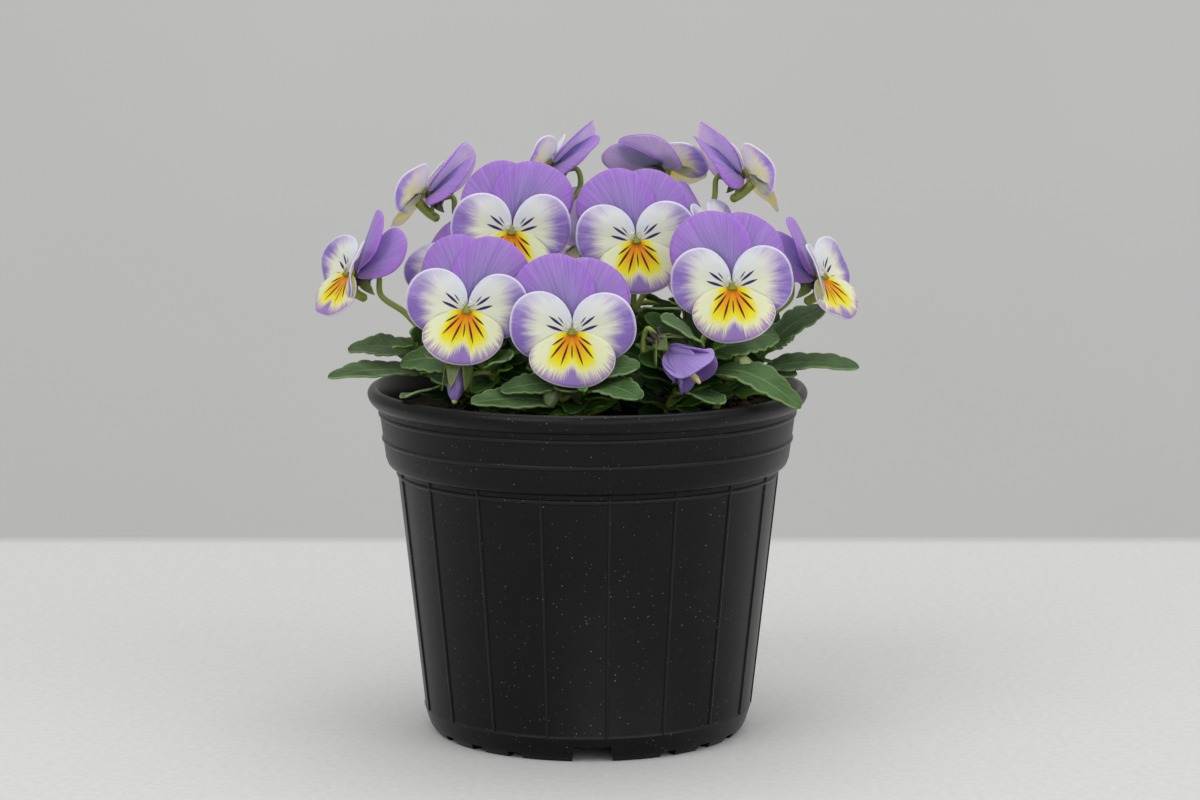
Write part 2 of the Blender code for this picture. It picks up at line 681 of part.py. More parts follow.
def report_crossing(label, node, obj):
    other = clearance.crossed([node], obj)
    if other:
        print(f"{label}: {obj.name} crosses {other}")


def stem_point(shoot, share):
    """A point on the shoot's stem: straight up out of the soil, then leaning outwards."""
    lean = math.radians(shoot.lean)
    out = shoot.reach * share**STEM_CURVE
    x, y = shoot.root
    return Vector((x + out * math.cos(lean), y + out * math.sin(lean), SOIL_LEVEL + shoot.rise * share))


def stem_route(shoot):
    foot = Vector((*shoot.root, SOIL_LEVEL - HOLE_DEPTH + GAP))
    return [foot] + [stem_point(shoot, share) for share in STEM_SHARES]


def stalk_route(bloom, shoot, bend):
    """From the shoot's stem up behind the bloom, over a short hook and into its receptacle."""
    place = bloom_frame(bloom)
    start = stem_point(shoot, bloom.start)
    join = place @ STALK_JOIN
    back = -(place.to_3x3() @ Vector((0, 0, 1)))
    azimuth = math.radians(bloom.azimuth)
    behind = Vector((-math.sin(azimuth), math.cos(azimuth), 0))
    hook = join + back * 0.0016 + behind * 0.0022 + Vector((0, 0, HOOK_RISE))
    below = join + behind * HOOK_REACH - Vector((0, 0, HOOK_DROP))
    rise = Vector((0, 0, (below - start).length * 0.45))
    aside = (below - start).cross(Vector((0, 0, 1))).normalized() * bend
    route = [start]
    for share in STALK_SHARES:
        curve = start * (1 - share) ** 2 + (start + rise + aside) * 2 * share * (1 - share)
        route.append(curve + below * share**2)
    return route + [below, hook, join]


def calyx(bloom, collection):
    """The receptacle with five sepals: a ten-sided cup, every second corner drawn out to a point."""
    bm = bmesh.new()
    back, front = CALYX_SPAN
    corners = 2 * len(SEPAL_TURNS)
    bmesh.ops.create_cone(
        bm, cap_ends=True, segments=corners, radius1=CALYX_RADIUS * 0.6, radius2=CALYX_RADIUS,
        depth=front - back,
    )
    bmesh.ops.translate(bm, vec=(0, 0, (front + back) / 2), verts=bm.verts)
    lean = math.radians(SEPAL_LEAN)
    reach, drop = SEPAL_LENGTH * math.cos(lean), SEPAL_LENGTH * math.sin(lean)
    around = sorted(bm.verts, key=lambda vert: math.atan2(vert.co.y, vert.co.x))
    middle = (front + back) / 2
    front_ring = [vert for vert in around if vert.co.z > middle]
    back_ring = [vert for vert in around if vert.co.z < middle]
    for ring, level in ((front_ring, front + drop), (back_ring, front + drop - BLADE)):
        for index, vert in enumerate(ring):
            turn = sepal_turn(index // 2, index % 2)
            radius = vert.co.xy.length
            if index % 2 == 0:
                radius = reach
                vert.co.z = level
            vert.co.x, vert.co.y = radius * math.cos(turn), radius * math.sin(turn)
    caps = [face for face in bm.faces if len(face.verts) == corners]
    bmesh.ops.poke(bm, faces=caps)
    bmesh.ops.recalc_face_normals(bm, faces=bm.faces)
    bmesh.ops.transform(bm, matrix=bloom_frame(bloom), verts=bm.verts)
    object_from("calyx", bm, collection)


def bud_calyx(bud, collection):
    """A nodding bud's receptacle, with five sepals that bend forward round the bud."""
    place = bloom_frame(bud)
    hub("receptacle", CALYX_SPAN, CALYX_RADIUS, CALYX_RADIUS * 0.6, 6, place, collection)
    tip = SEPAL_TIPS[bud.name]
    profile = ((*SEPAL_ROOT, SEPAL_ROOT_HALF), (*SEPAL_BEND, BUD_SEPAL_HALF), (*tip, 0.0))
    for degrees in SEPAL_TURNS:
        turn = math.radians(degrees)

        def surface(across, share):
            radius, level, half = profile[round(2 * share)]
            side = across * half
            x = radius * math.cos(turn) - side * math.sin(turn)
            y = radius * math.sin(turn) + side * math.cos(turn)
            return place @ Vector((x, y, level))

        blade("sepal", 1, 2, surface, BLADE, collection)


def green_bud(bud, collection):
    """A closed bud, still wrapped in its sepals: a pointed oval."""
    bm = bmesh.new()
    bmesh.ops.create_uvsphere(bm, u_segments=6, v_segments=4, radius=1.0)
    back, front = GREEN_BUD_SPAN
    size = (GREEN_BUD_RADIUS, GREEN_BUD_RADIUS, (front - back) / 2)
    bmesh.ops.scale(bm, vec=size, verts=bm.verts)
    bmesh.ops.translate(bm, vec=(0, 0, (front + back) / 2), verts=bm.verts)
    bmesh.ops.transform(bm, matrix=bloom_frame(bud), verts=bm.verts)
    object_from("green_bud", bm, collection)


def sepal_turn(index, halfway):
    """The direction of a sepal, or of the notch halfway to the next one."""
    turn = SEPAL_TURNS[index]
    after = SEPAL_TURNS[(index + 1) % len(SEPAL_TURNS)]
    if after < turn:
        after += 360
    return math.radians(turn + (after - turn) / 2 * halfway)


def make_stems():
    made = {}
    for shoot in SHOOTS:
        pieces = made[shoot.name] = helper_collection("shoot_" + shoot.name)
        stem = tube("stem", stem_route(shoot), STEM_RADIUS, STEM_RADIUS * 0.8, 6, pieces)
        clearance.add(shoot.name, stem)
    return made


def make_stalks(shoots):
    by_name = {shoot.name: shoot for shoot in SHOOTS}
    for makers, blooms in ((calyx, BLOOMS), (bud_calyx, BUDS), (green_bud, GREEN_BUDS)):
        for bloom in blooms:
            pieces = shoots[bloom.shoot]
            before = set(pieces.objects)
            makers(bloom, pieces)
            for obj in set(pieces.objects) - before:
                report_crossing(bloom.name + " calyx", bloom.shoot, obj)
                clearance.add(bloom.shoot, obj)
    for bloom in BLOOMS + BUDS + GREEN_BUDS:
        pieces = shoots[bloom.shoot]
        for bend in STALK_BENDS:
            route = stalk_route(bloom, by_name[bloom.shoot], bend)
            trial = tube("trial", route, STALK_RADIUS + GAP, STALK_RADIUS + GAP, 4, pieces)
            other = clearance.crossed([bloom.shoot], trial)
            bpy.data.objects.remove(trial)
            if not other:
                break
        else:
            print(f"stalk of {bloom.name} crosses {other}")
        stalk = tube("stalk", route, STALK_RADIUS, STALK_RADIUS, 4, pieces)
        clearance.add(bloom.shoot, stalk)


def try_leaf(shoot, surfaces, rows, pieces):
    """Adds the first of these leaves that is clear of every other leaf, or at least of every other node."""
    stem, leaves = shoot.name, shoot.name + " leaves"
    for own in ([stem], [stem, leaves]):
        for surface in surfaces:
            trial = blade("trial", 1, rows, surface, BLADE + 2 * GAP, pieces)
            crossed = clearance.crossed(own, trial)
            bpy.data.objects.remove(trial)
            if not crossed:
                clearance.add(leaves, blade("leaf", 1, rows, surface, BLADE, pieces))
                return
    print(f"a leaf of {shoot.name} is left out: it crosses {crossed}")


def make_big_leaves(shoots):
    by_name = {shoot.name: shoot for shoot in SHOOTS}
    for leaf in BIG_LEAVES:
        shoot = by_name[leaf.shoot]
        base = stem_point(shoot, leaf.start)
        tips = [Vector(leaf.tip) + Vector((0, 0, lift)) for lift in LEAF_LIFTS]
        surfaces = [leaf_surface(base, tip, leaf.width, leaf.arch, BIG_LEAF_TEETH) for tip in tips]
        try_leaf(shoot, surfaces, 2 * BIG_LEAF_TEETH + 1, shoots[shoot.name])


def make_small_leaves(shoots):
    """Leaves up each stem on a spiral, each turned aside until it is clear of its neighbours."""
    draw = random.Random(LEAF_SEED)
    for shoot in SHOOTS:
        phase = draw.uniform(0, 360)
        for index in range(shoot.leaves):
            share = LOWEST_LEAF + (1 - LOWEST_LEAF) * index / (shoot.leaves - 1)
            length = draw.uniform(*LEAF_LENGTHS)
            rise = math.radians(draw.uniform(*LEAF_RISE) + LEAF_RISE_WITH_HEIGHT * share)
            base = stem_point(shoot, share)
            surfaces = []
            for turn in LEAF_TURNS:
                angle = math.radians(phase + index * LEAF_SPIRAL + turn)
                flat = length * math.cos(rise)
                reach = Vector((flat * math.cos(angle), flat * math.sin(angle), length * math.sin(rise)))
                width, arch = length * SMALL_LEAF_WIDTH, length * SMALL_LEAF_ARCH
                surfaces.append(leaf_surface(base, base + reach, width, arch, SMALL_LEAF_TEETH))
            try_leaf(shoot, surfaces, 2 * SMALL_LEAF_TEETH + 1, shoots[shoot.name])


def main():
    start_scene()
    clearance.add("pot", make_pot())
    clearance.add("soil", make_soil())
    for bloom in BLOOMS:
        make_bloom(bloom)
    for bud in BUDS:
        make_bud(bud)
    shoots = make_stems()
    make_stalks(shoots)
    make_big_leaves(shoots)
    make_small_leaves(shoots)
    for shoot in SHOOTS:
        fused("shoot_" + shoot.name, shoots[shoot.name], "green")


main()
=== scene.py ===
"""The finished look of a potted viola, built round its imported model: pot, soil, shoots, blooms and stage."""

import logging
import random
from collections.abc import Callable, Iterable, Sequence
from dataclasses import dataclass, replace
from enum import Enum
from functools import partial
from math import atan2, cos, exp, hypot, pi, radians, sin, sqrt, tau

import bmesh
import bpy
from bmesh.types import BMesh, BMFace
from mathutils import Matrix, Vector, noise
from mathutils.bvhtree import BVHTree
from mathutils.geometry import interpolate_bezier

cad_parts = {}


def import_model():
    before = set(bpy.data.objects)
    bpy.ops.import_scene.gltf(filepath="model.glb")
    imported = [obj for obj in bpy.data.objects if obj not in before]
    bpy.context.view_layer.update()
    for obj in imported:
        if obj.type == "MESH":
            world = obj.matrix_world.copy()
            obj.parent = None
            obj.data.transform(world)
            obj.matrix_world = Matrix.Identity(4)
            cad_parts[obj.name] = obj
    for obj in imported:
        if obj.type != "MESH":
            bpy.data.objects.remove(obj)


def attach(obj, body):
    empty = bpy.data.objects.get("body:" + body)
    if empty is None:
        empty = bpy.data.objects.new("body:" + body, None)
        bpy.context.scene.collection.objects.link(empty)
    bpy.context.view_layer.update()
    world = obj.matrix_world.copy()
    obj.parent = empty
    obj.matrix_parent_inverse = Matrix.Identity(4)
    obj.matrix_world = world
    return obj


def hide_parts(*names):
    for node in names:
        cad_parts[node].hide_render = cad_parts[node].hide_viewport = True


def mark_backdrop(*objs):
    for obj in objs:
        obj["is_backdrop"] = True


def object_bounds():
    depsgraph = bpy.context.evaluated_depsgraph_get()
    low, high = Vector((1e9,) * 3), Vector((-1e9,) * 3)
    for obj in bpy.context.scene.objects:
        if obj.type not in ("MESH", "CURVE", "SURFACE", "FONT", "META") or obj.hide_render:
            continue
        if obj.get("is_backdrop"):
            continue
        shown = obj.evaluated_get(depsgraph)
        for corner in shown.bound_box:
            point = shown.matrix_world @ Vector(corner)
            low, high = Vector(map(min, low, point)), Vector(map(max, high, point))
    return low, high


Tree = bpy.types.NodeTree
Socket = bpy.types.NodeSocket
Faces = list[BMFace]
Pair = tuple[float, float]
Triple = tuple[float, float, float]
Box = tuple[Vector, Vector]
# A straight line between two (radius, z) points
Line = tuple[Pair, Pair]
Colour = tuple[float, float, float, float]
# Where a ramp starts and ends on what it reads, and its value at each of the two
Ramp = tuple[float, float, float, float]
# Where a place across from -1 to 1 and along from 0 to 1 goes
Surface = Callable[[float, float], Vector]

LOG = logging.getLogger("potted_viola")
MM = 0.001
UP = Vector((0.0, 0.0, 1.0))
SRGB_KNEE, SRGB_SLOPE, SRGB_SHIFT, SRGB_POWER = 0.04045, 12.92, 0.055, 2.4


def linear(code: str) -> Colour:
    """Turns an sRGB hex colour into linear light.

    Args:
        code: six hex digits after a hash sign.

    Returns:
        Red, green, blue and a full alpha, in linear light.
    """
    shares = [int(code[i : i + 2], 16) / 255 for i in (1, 3, 5)]
    red, green, blue = (
        s / SRGB_SLOPE if s <= SRGB_KNEE else ((s + SRGB_SHIFT) / (1 + SRGB_SHIFT)) ** SRGB_POWER
        for s in shares
    )
    return (red, green, blue, 1.0)


def add(tree: Tree, kind: str, *sources: object, **settings: object) -> Socket:
    """Adds one shader node with its settings and links.

    Args:
        tree: the node tree.
        kind: the node's type without its ShaderNode prefix, then its operation or data type if it has one.
        sources: for each input in turn a socket to link, a value or hex colour to set, or None.
        settings: the node's own properties; stops fills a colour ramp with (place, hex) pairs.

    Returns:
        The node's first output that is in use.
    """
    kind, _, option = kind.partition(" ")
    node = tree.nodes.new("ShaderNode" + kind)
    if option:
        setattr(node, "data_type" if kind == "Mix" else "operation", option)
    stops = settings.pop("stops", None)
    for name, value in settings.items():
        setattr(node, name, value)
    if stops:
        ramp = node.color_ramp
        for place, _ in stops[2:]:
            ramp.elements.new(place)
        for element, (place, code) in zip(ramp.elements, stops):
            element.position, element.color = place, linear(code)
    used = [socket for socket in node.inputs if socket.enabled]
    for socket, source in zip(used, sources):
        if isinstance(source, Socket):
            tree.links.new(source, socket)
        elif source is not None:
            socket.default_value = linear(source) if isinstance(source, str) else source
    return next(socket for socket in node.outputs if socket.enabled)


@dataclass(frozen=True)
class Finish:
    """What every finish shares: a name for the real material and its plain shader values."""

    name: str = "finish"
    roughness: float = 0.5
    sheen: float = 0.0
    subsurface: float = 0.0
    specular: float = 0.5
    # How far light travels below the surface, in mm, and how evenly red, green and blue do
    depth_of_light: float = 1.0
    spread_of_light: Triple = (1.0, 0.8, 0.8)

    def colour(self, tree: Tree) -> Socket:
        """Builds the colour's nodes and returns their last socket."""
        raise NotImplementedError

    def height(self, tree: Tree) -> tuple[Socket, float] | None:
        """Builds the bump's nodes and returns their socket with its depth in metres, or None."""
        return None

    def material(self) -> bpy.types.Material:
        """Makes this finish's material, or finds it if it is there already.

        Returns:
            The material.
        """
        found = bpy.data.materials.get(self.name)
        if found:
            return found
        made = bpy.data.materials.new(self.name)
        made.use_nodes = True
        tree = made.node_tree
        shader = tree.nodes["Principled BSDF"]
        values = {
            "Roughness": self.roughness,
            "Sheen Weight": self.sheen,
            "Specular IOR Level": self.specular,
            "Subsurface Weight": self.subsurface,
            "Subsurface Radius": self.spread_of_light,
            "Subsurface Scale": self.depth_of_light * MM,
        }
        for socket, value in values.items():
            shader.inputs[socket].default_value = value
        tree.links.new(self.colour(tree), shader.inputs["Base Color"])
        bump = self.height(tree)
        if bump:
            normal = add(tree, "Bump", 1.0, bump[1], None, bump[0])
            tree.links.new(normal, shader.inputs["Normal"])
        return made


# Half the angle that a petal's first map spans, in degrees
SPREAD = 78.0
# What the full width of a petal's second map stands for
SPAN_UNIT = 50 * MM
# How far a petal's painted stroke takes to fade out, in mm
SOFT = 0.14


@dataclass(frozen=True)
class PetalFinish(Finish):
    """A petal's thin moist skin: matt and velvety, and bright where light comes through from behind."""

    roughness: float = 0.62
    sheen: float = 0.06
    subsurface: float = 0.68
    specular: float = 0.22
    depth_of_light: float = 1.6
    # How fast the noises change across the petal, for each degree, and along its whole length. Real
    # veins stand about 0.3 mm apart, and the streaks are three times as coarse so that they show
    fine: float = 0.75
    broad: float = 0.13
    lengthways: float = 1.6
    seeds: float = 40.0
    # How blunt a painted stroke's ends are: 1 is sharp
    taper: float = 0.6
    vein_height: float = 0.12 * MM

    def place(self, tree: Tree) -> dict[str, Socket]:
        """Reads the petal's own maps.

        Args:
            tree: the node tree.

        Returns:
            Sockets for angle in degrees, share of the reach, radius in mm, and a fine and a broad noise.
        """
        n = partial(add, tree)
        across, share = n("SeparateXYZ", n("UVMap", uv_map="surface")).node.outputs[:2]
        centred = n("VectorMath SUBTRACT", n("UVMap", uv_map="span"), (0.5, 0.5, 0.0))
        length = n("VectorMath LENGTH", centred).node.outputs["Value"]
        angle = n("MapRange", across, 0.0, 1.0, -SPREAD, SPREAD)
        radius = n("Math MULTIPLY", length, SPAN_UNIT / MM)
        variety = n("Attribute", attribute_name="variety").node.outputs["Fac"]
        seed = n("Math MULTIPLY", variety, self.seeds)
        along = n("Math MULTIPLY", share, self.lengthways)
        fine, broad = (
            n("CombineXYZ", n("Math MULTIPLY", angle, pace), along, seed)
            for pace in (self.fine, self.broad)
        )
        return {
            "angle": angle,
            "share": share,
            "radius": radius,
            "streaks": n("TexNoise", fine, 1.0, 3.0, 0.6),
            "feather": n("TexNoise", broad, 1.0, 4.0, 0.65),
        }

    def flat(self, tree: Tree, radius: Socket, angle: Socket) -> Socket:
        """Turns a radius and an angle into a place on the flat petal.

        Args:
            tree: the node tree.
            radius: the radius in mm.
            angle: the angle in degrees.

        Returns:
            A vector's socket: forward and sideways in mm.
        """
        n = partial(add, tree)
        turn = n("Math MULTIPLY", angle, radians(1.0))
        forward, sideways = (
            n("Math MULTIPLY", radius, n("Math " + wave, turn))
            for wave in ("COSINE", "SINE")
        )
        return n("CombineXYZ", forward, sideways)

    def stroke(self, tree: Tree, flat: Socket, ends: Sequence[float], half: float) -> Socket:
        """Draws a straight stroke that is pointed at both ends, as a mask.

        Args:
            tree: the node tree.
            flat: the place on the flat petal, as flat gives it.
            ends: radius in mm and angle in degrees of its start, then the same of its end.
            half: half its width in mm, at its middle.

        Returns:
            The mask's socket.
        """
        n = partial(add, tree)
        start, end = (
            Vector((radius * cos(radians(angle)), radius * sin(radians(angle)), 0.0))
            for radius, angle in (ends[:2], ends[2:])
        )
        ahead = (end - start).normalized()
        offset = n("VectorMath SUBTRACT", flat, start)
        along, beside = (
            n("VectorMath DOT_PRODUCT", offset, way).node.outputs["Value"]
            for way in (ahead, UP.cross(ahead))
        )
        turn = n("MapRange", along, 0.0, (end - start).length, 0.0, pi)
        taper = n("Math POWER", n("Math SINE", turn), self.taper)
        width = n("Math MULTIPLY", taper, half + SOFT / 2)
        inside = n("Math SUBTRACT", width, n("Math ABSOLUTE", beside))
        return n("MapRange", inside, 0.0, SOFT)

    def height(self, tree: Tree) -> tuple[Socket, float]:
        """Fine veins that stand along the petal."""
        return self.place(tree)["streaks"], self.vein_height


@dataclass(frozen=True)
class UpperPetal(PetalFinish):
    """An upper petal's velvet: lilac, pinker at its margin, blue-violet at its foot, finely veined."""

    name: str = "viola_petal_violet"
    foot: str = "#56438f"
    middle: str = "#9580bb"
    edge: str = "#9e6cc8"
    vein: str = "#70559f"
    glint: str = "#ad9cd4"
    veins: float = 0.55
    foot_reach: Pair = (0.12, 0.52)

    def colour(self, tree: Tree) -> Socket:
        """Foot, middle and margin tones, with darker veins and paler lines between them."""
        n = partial(add, tree)
        p = self.place(tree)
        apart = n("Math ABSOLUTE", p["angle"])
        wander = n("MapRange", p["feather"], 0.3, 0.7, -0.10, 0.10)
        share = n("Math ADD", p["share"], wander)
        aside = n("MapRange", apart, 15.0, 75.0, 0.0, 0.45)
        out = n("MapRange", n("Math ADD", share, aside), 0.60, 1.20)
        body = n("Mix RGBA", out, self.middle, self.edge)
        depth = n("Math ADD", share, n("MapRange", apart, 6.0, 50.0, 0.0, 0.34))
        foot = n("MapRange", depth, *self.foot_reach, 1.0, 0.0)
        body = n("Mix RGBA", foot, body, self.foot)
        fade = n("MapRange", p["share"], 0.15, 1.0, 1.0, 0.4)
        lines = n("MapRange", p["streaks"], 0.50, 0.62, 0.0, self.veins)
        dark = n("Math MULTIPLY", lines, fade)
        body = n("Mix RGBA", dark, body, self.vein)
        pale = n("MapRange", p["streaks"], 0.34, 0.46, 0.3, 0.0)
        return n("Mix RGBA", pale, body, self.glint)


@dataclass(frozen=True)
class SidePetal(PetalFinish):
    """A side petal: cool white above and cream below, a softly feathered violet patch, and dark dashes."""

    name: str = "viola_petal_side"
    cream: str = "#e2e1c4"
    cool: str = "#d5d7dd"
    patch: str = "#9c86c8"
    deep: str = "#775cae"
    rim: str = "#e6e3ee"
    dash: str = "#2c1668"
    # Each dash: radius in mm and angle in degrees where it starts, the same where it ends, half its
    # width in mm, and its strength
    dashes: tuple[tuple[float, float, float, float, float, float], ...] = (
        (2.2, 17.0, 7.0, -3.0, 0.38, 1.0),
        (2.4, -12.0, 7.2, -23.5, 0.34, 1.0),
        (2.6, -28.5, 5.2, -36.0, 0.20, 0.9),
        (3.4, 28.5, 6.2, 24.0, 0.15, 0.8),
    )
    show: float = 1.0
    strength: float = 0.94

    def colour(self, tree: Tree) -> Socket:
        """Ground, patch, pale rim and dark dashes."""
        n = partial(add, tree)
        p = self.place(tree)
        top = n("MapRange", p["angle"], -62.0, 2.0, 1.0, 0.0)
        ground = n("Mix RGBA", top, self.cream, self.cool)
        wander = n("MapRange", p["feather"], 0.3, 0.7, -0.08, 0.08)
        ragged = n("MapRange", p["streaks"], 0.3, 0.7, -0.035, 0.035)
        above = n("MapRange", p["angle"], -58.0, -10.0, -0.26, 0.0)
        below = n("MapRange", p["angle"], 16.0, 58.0, 0.0, -0.22)
        share = p["share"]
        for shift in (wander, ragged, above, below):
            share = n("Math ADD", share, shift)
        out = n("MapRange", share, 0.50, 0.86, 0.0, 1.0, interpolation_type="SMOOTHSTEP")
        high = n("MapRange", p["angle"], -62.0, -6.0, 0.15, 1.0)
        low = n("MapRange", p["angle"], 42.0, 70.0, 1.0, 0.2)
        mask = n("Math MULTIPLY", n("Math MULTIPLY", out, low), high)
        depth = n("Math ADD", p["feather"], n("MapRange", p["angle"], -50.0, 20.0, -0.12, 0.12))
        deep = n("MapRange", depth, 0.38, 0.62)
        shade = n("Mix RGBA", deep, self.patch, self.deep)
        mask = n("Math MULTIPLY", mask, self.strength * self.show)
        body = n("Mix RGBA", mask, ground, shade)
        widening = n("MapRange", p["angle"], -60.0, 30.0, 0.02, 0.0)
        rim = n("MapRange", n("Math ADD", p["share"], widening), 0.965, 1.0, 0.0, 0.7)
        body = n("Mix RGBA", rim, body, self.rim)
        flat = self.flat(tree, p["radius"], p["angle"])
        for *ends, half, strength in self.dashes:
            line = n("Math MULTIPLY", self.stroke(tree, flat, ends, half), strength)
            body = n("Mix RGBA", line, body, self.dash)
        return body


@dataclass(frozen=True)
class LowerPetal(PetalFinish):
    """The lower petal: cream, a yellow to orange fan, dark guides, a violet wedge and mottled margin."""

    name: str = "viola_petal_lower"
    cream: str = "#e8e5b8"
    lemon: str = "#f5df08"
    gold: str = "#fcae00"
    orange: str = "#f47e00"
    violet: str = "#8460b4"
    mauve: str = "#8f64ae"
    rim: str = "#efeaf0"
    line: str = "#2c0612"
    # The middle line, then those to either side: radius in mm and angle in degrees where each starts,
    # the same where it ends, and half its width in mm
    guides: tuple[tuple[float, float, float, float, float], ...] = (
        (3.6, 0.0, 8.0, 0.0, 0.20),
        (3.2, 14.0, 10.2, 17.0, 0.27),
        (2.7, 33.0, 9.8, 36.0, 0.29),
        (2.5, 47.0, 6.8, 51.0, 0.26),
    )
    show: float = 1.0
    # Where the fan turns from orange to gold and to lemon, as shares of its reach
    gold_from: float = 0.52
    lemon_from: float = 0.84

    def colour(self, tree: Tree) -> Socket:
        """Cream ground with the fan, the wedge and margin, the rim and seven guide lines, laid in turn."""
        n = partial(add, tree)
        p = self.place(tree)
        apart = n("Math ABSOLUTE", p["angle"])
        body = self.fan(tree, p, apart)
        aside = n("MapRange", apart, 8.0, 24.0)
        tint = n("Mix RGBA", aside, self.violet, self.mauve)
        body = n("Mix RGBA", self.margin(tree, p, apart), body, tint)
        rim = n("MapRange", p["share"], 0.975, 0.995, 0.0, 0.6)
        body = n("Mix RGBA", rim, body, self.rim)
        flat = self.flat(tree, p["radius"], apart)
        for *ends, half in self.guides:
            line = n("Math MULTIPLY", self.stroke(tree, flat, ends, half), self.show)
            body = n("Mix RGBA", line, body, self.line)
        return body

    def fan(self, tree: Tree, p: dict[str, Socket], apart: Socket) -> Socket:
        """Cream, then yellow to orange towards the throat, with a cream V up its middle.

        Args:
            tree: the node tree.
            p: the place, as place gives it.
            apart: the angle from the middle, unsigned.

        Returns:
            The colour's socket.
        """
        n = partial(add, tree)
        ragged = n("MapRange", p["streaks"], 0.3, 0.7, -1.1, 1.1)
        middle = n("MapRange", apart, 2.0, 13.0, 2.4, 0.0)
        side = n("MapRange", apart, 34.0, 60.0, 0.0, 6.5)
        reach = p["radius"]
        for shift in (ragged, middle, side):
            reach = n("Math ADD", reach, shift)
        inside = n("MapRange", reach, 9.4, 12.8, self.show, 0.0, interpolation_type="SMOOTHSTEP")
        tones = ((0.0, self.orange), (self.gold_from, self.gold), (self.lemon_from, self.lemon))
        tone = n("ValToRGB", n("MapRange", reach, 2.4, 11.0), stops=tones)
        near = n("MapRange", p["radius"], 1.6, 3.2, self.show, 0.0)
        inside = n("Math MAXIMUM", inside, near)
        return n("Mix RGBA", inside, self.cream, tone)

    def margin(self, tree: Tree, p: dict[str, Socket], apart: Socket) -> Socket:
        """How violet each place is: a wedge in the middle, and a mottled band along the margin.

        Args:
            tree: the node tree.
            p: the place, as place gives it.
            apart: the angle from the middle, unsigned.

        Returns:
            The mask's socket.
        """
        n = partial(add, tree)
        wander = n("MapRange", p["streaks"], 0.3, 0.7, -5.0, 5.0)
        opening = n("Math ADD", n("MapRange", p["share"], 0.56, 1.0, 0.0, 21.0), wander)
        wedge = n("MapRange", n("Math SUBTRACT", opening, apart), -3.0, 6.0, 0.0, 0.9)
        start = n("MapRange", p["share"], 0.56, 0.70)
        wedge = n("Math MULTIPLY", wedge, start)
        mottle = n("MapRange", p["streaks"], 0.3, 0.7, -0.11, 0.11)
        drift = n("MapRange", p["feather"], 0.3, 0.7, -0.05, 0.05)
        inward = n("MapRange", apart, 18.0, 60.0, 0.06, -0.05)
        place = p["share"]
        for shift in (mottle, drift, inward):
            place = n("Math ADD", place, shift)
        band = n("MapRange", place, 0.81, 0.98, 0.0, 0.85)
        band = n("Math MULTIPLY", band, n("MapRange", apart, 54.0, 76.0, 1.0, 0.1))
        return n("Math MULTIPLY", n("Math MAXIMUM", wedge, band), self.show)


@dataclass(frozen=True)
class LeafFinish(Finish):
    """A living leaf: waxy grey-green to fresh green, painted shade at its stalk, paler on veins and edge."""

    name: str = "viola_leaf_upper_side"
    roughness: float = 0.5
    subsurface: float = 0.08
    specular: float = 0.26
    dull: str = "#5a724c"
    fresh: str = "#466835"
    # The dark green of the mottled patches, and of the painted shade towards the stalk
    shade: str = "#264416"
    vein: str = "#8aa468"
    vein_strength: float = 0.34
    # Side veins to a leaf's length
    side_veins: float = 10.2
    # Patches are about 6 mm across, and the quilting between the finest veins about 1 mm
    patches: float = 160.0
    quilting: float = 900.0
    relief: float = 0.25 * MM

    def veins(self, tree: Tree) -> Socket:
        """The midrib and the side veins that run forward from it, as a mask."""
        n = partial(add, tree)
        across, share = n("SeparateXYZ", n("UVMap", uv_map="surface")).node.outputs[:2]
        aside = n("Math ABSOLUTE", n("Math SUBTRACT", across, 0.5))
        rib = n("MapRange", aside, 0.012, 0.055, 1.0, 0.0)
        forward = n("Math SUBTRACT", share, n("Math MULTIPLY", aside, 0.55))
        phase = n("Math FRACT", n("Math MULTIPLY", forward, self.side_veins))
        near = n("Math ABSOLUTE", n("Math SUBTRACT", phase, 0.5))
        branch = n("MapRange", near, 0.03, 0.12, 0.55, 0.0)
        return n("Math MAXIMUM", rib, branch)

    def colour(self, tree: Tree) -> Socket:
        """Dull to fresh green by leaf, mottled, painted shade at the stalk, veins and a lighter edge."""
        n = partial(add, tree)
        place = n("TexCoord").node.outputs["Object"]
        variety = n("Attribute", attribute_name="variety").node.outputs["Fac"]
        body = n("Mix RGBA", variety, self.dull, self.fresh)
        surface = n("SeparateXYZ", n("UVMap", uv_map="surface"))
        patch = n("MapRange", n("TexNoise", place, self.patches, 3.0, 0.6), 0.35, 0.7, 0.0, 0.8)
        # Painted shade: darker towards the stalk, where the leaf lies under others
        inward = n("MapRange", surface.node.outputs[1], 0.15, 0.75, 0.75, 0.0)
        patch = n("Math MAXIMUM", patch, inward)
        body = n("Mix RGBA", patch, body, self.shade)
        mask = n("Math MULTIPLY", self.veins(tree), self.vein_strength)
        body = n("Mix RGBA", mask, body, self.vein)
        aside = n("Math ABSOLUTE", n("Math SUBTRACT", surface, 0.5))
        edge = n("MapRange", aside, 0.43, 0.49, 0.0, 0.6)
        return n("Mix RGBA", edge, body, self.vein)

    def height(self, tree: Tree) -> tuple[Socket, float]:
        """Veins sunk into the upper side, and a fine quilting between them."""
        n = partial(add, tree)
        place = n("TexCoord").node.outputs["Object"]
        quilt = n("Math MULTIPLY", n("TexNoise", place, self.quilting, 2.0, 0.5), 0.5)
        return n("Math SUBTRACT", quilt, self.veins(tree)), self.relief


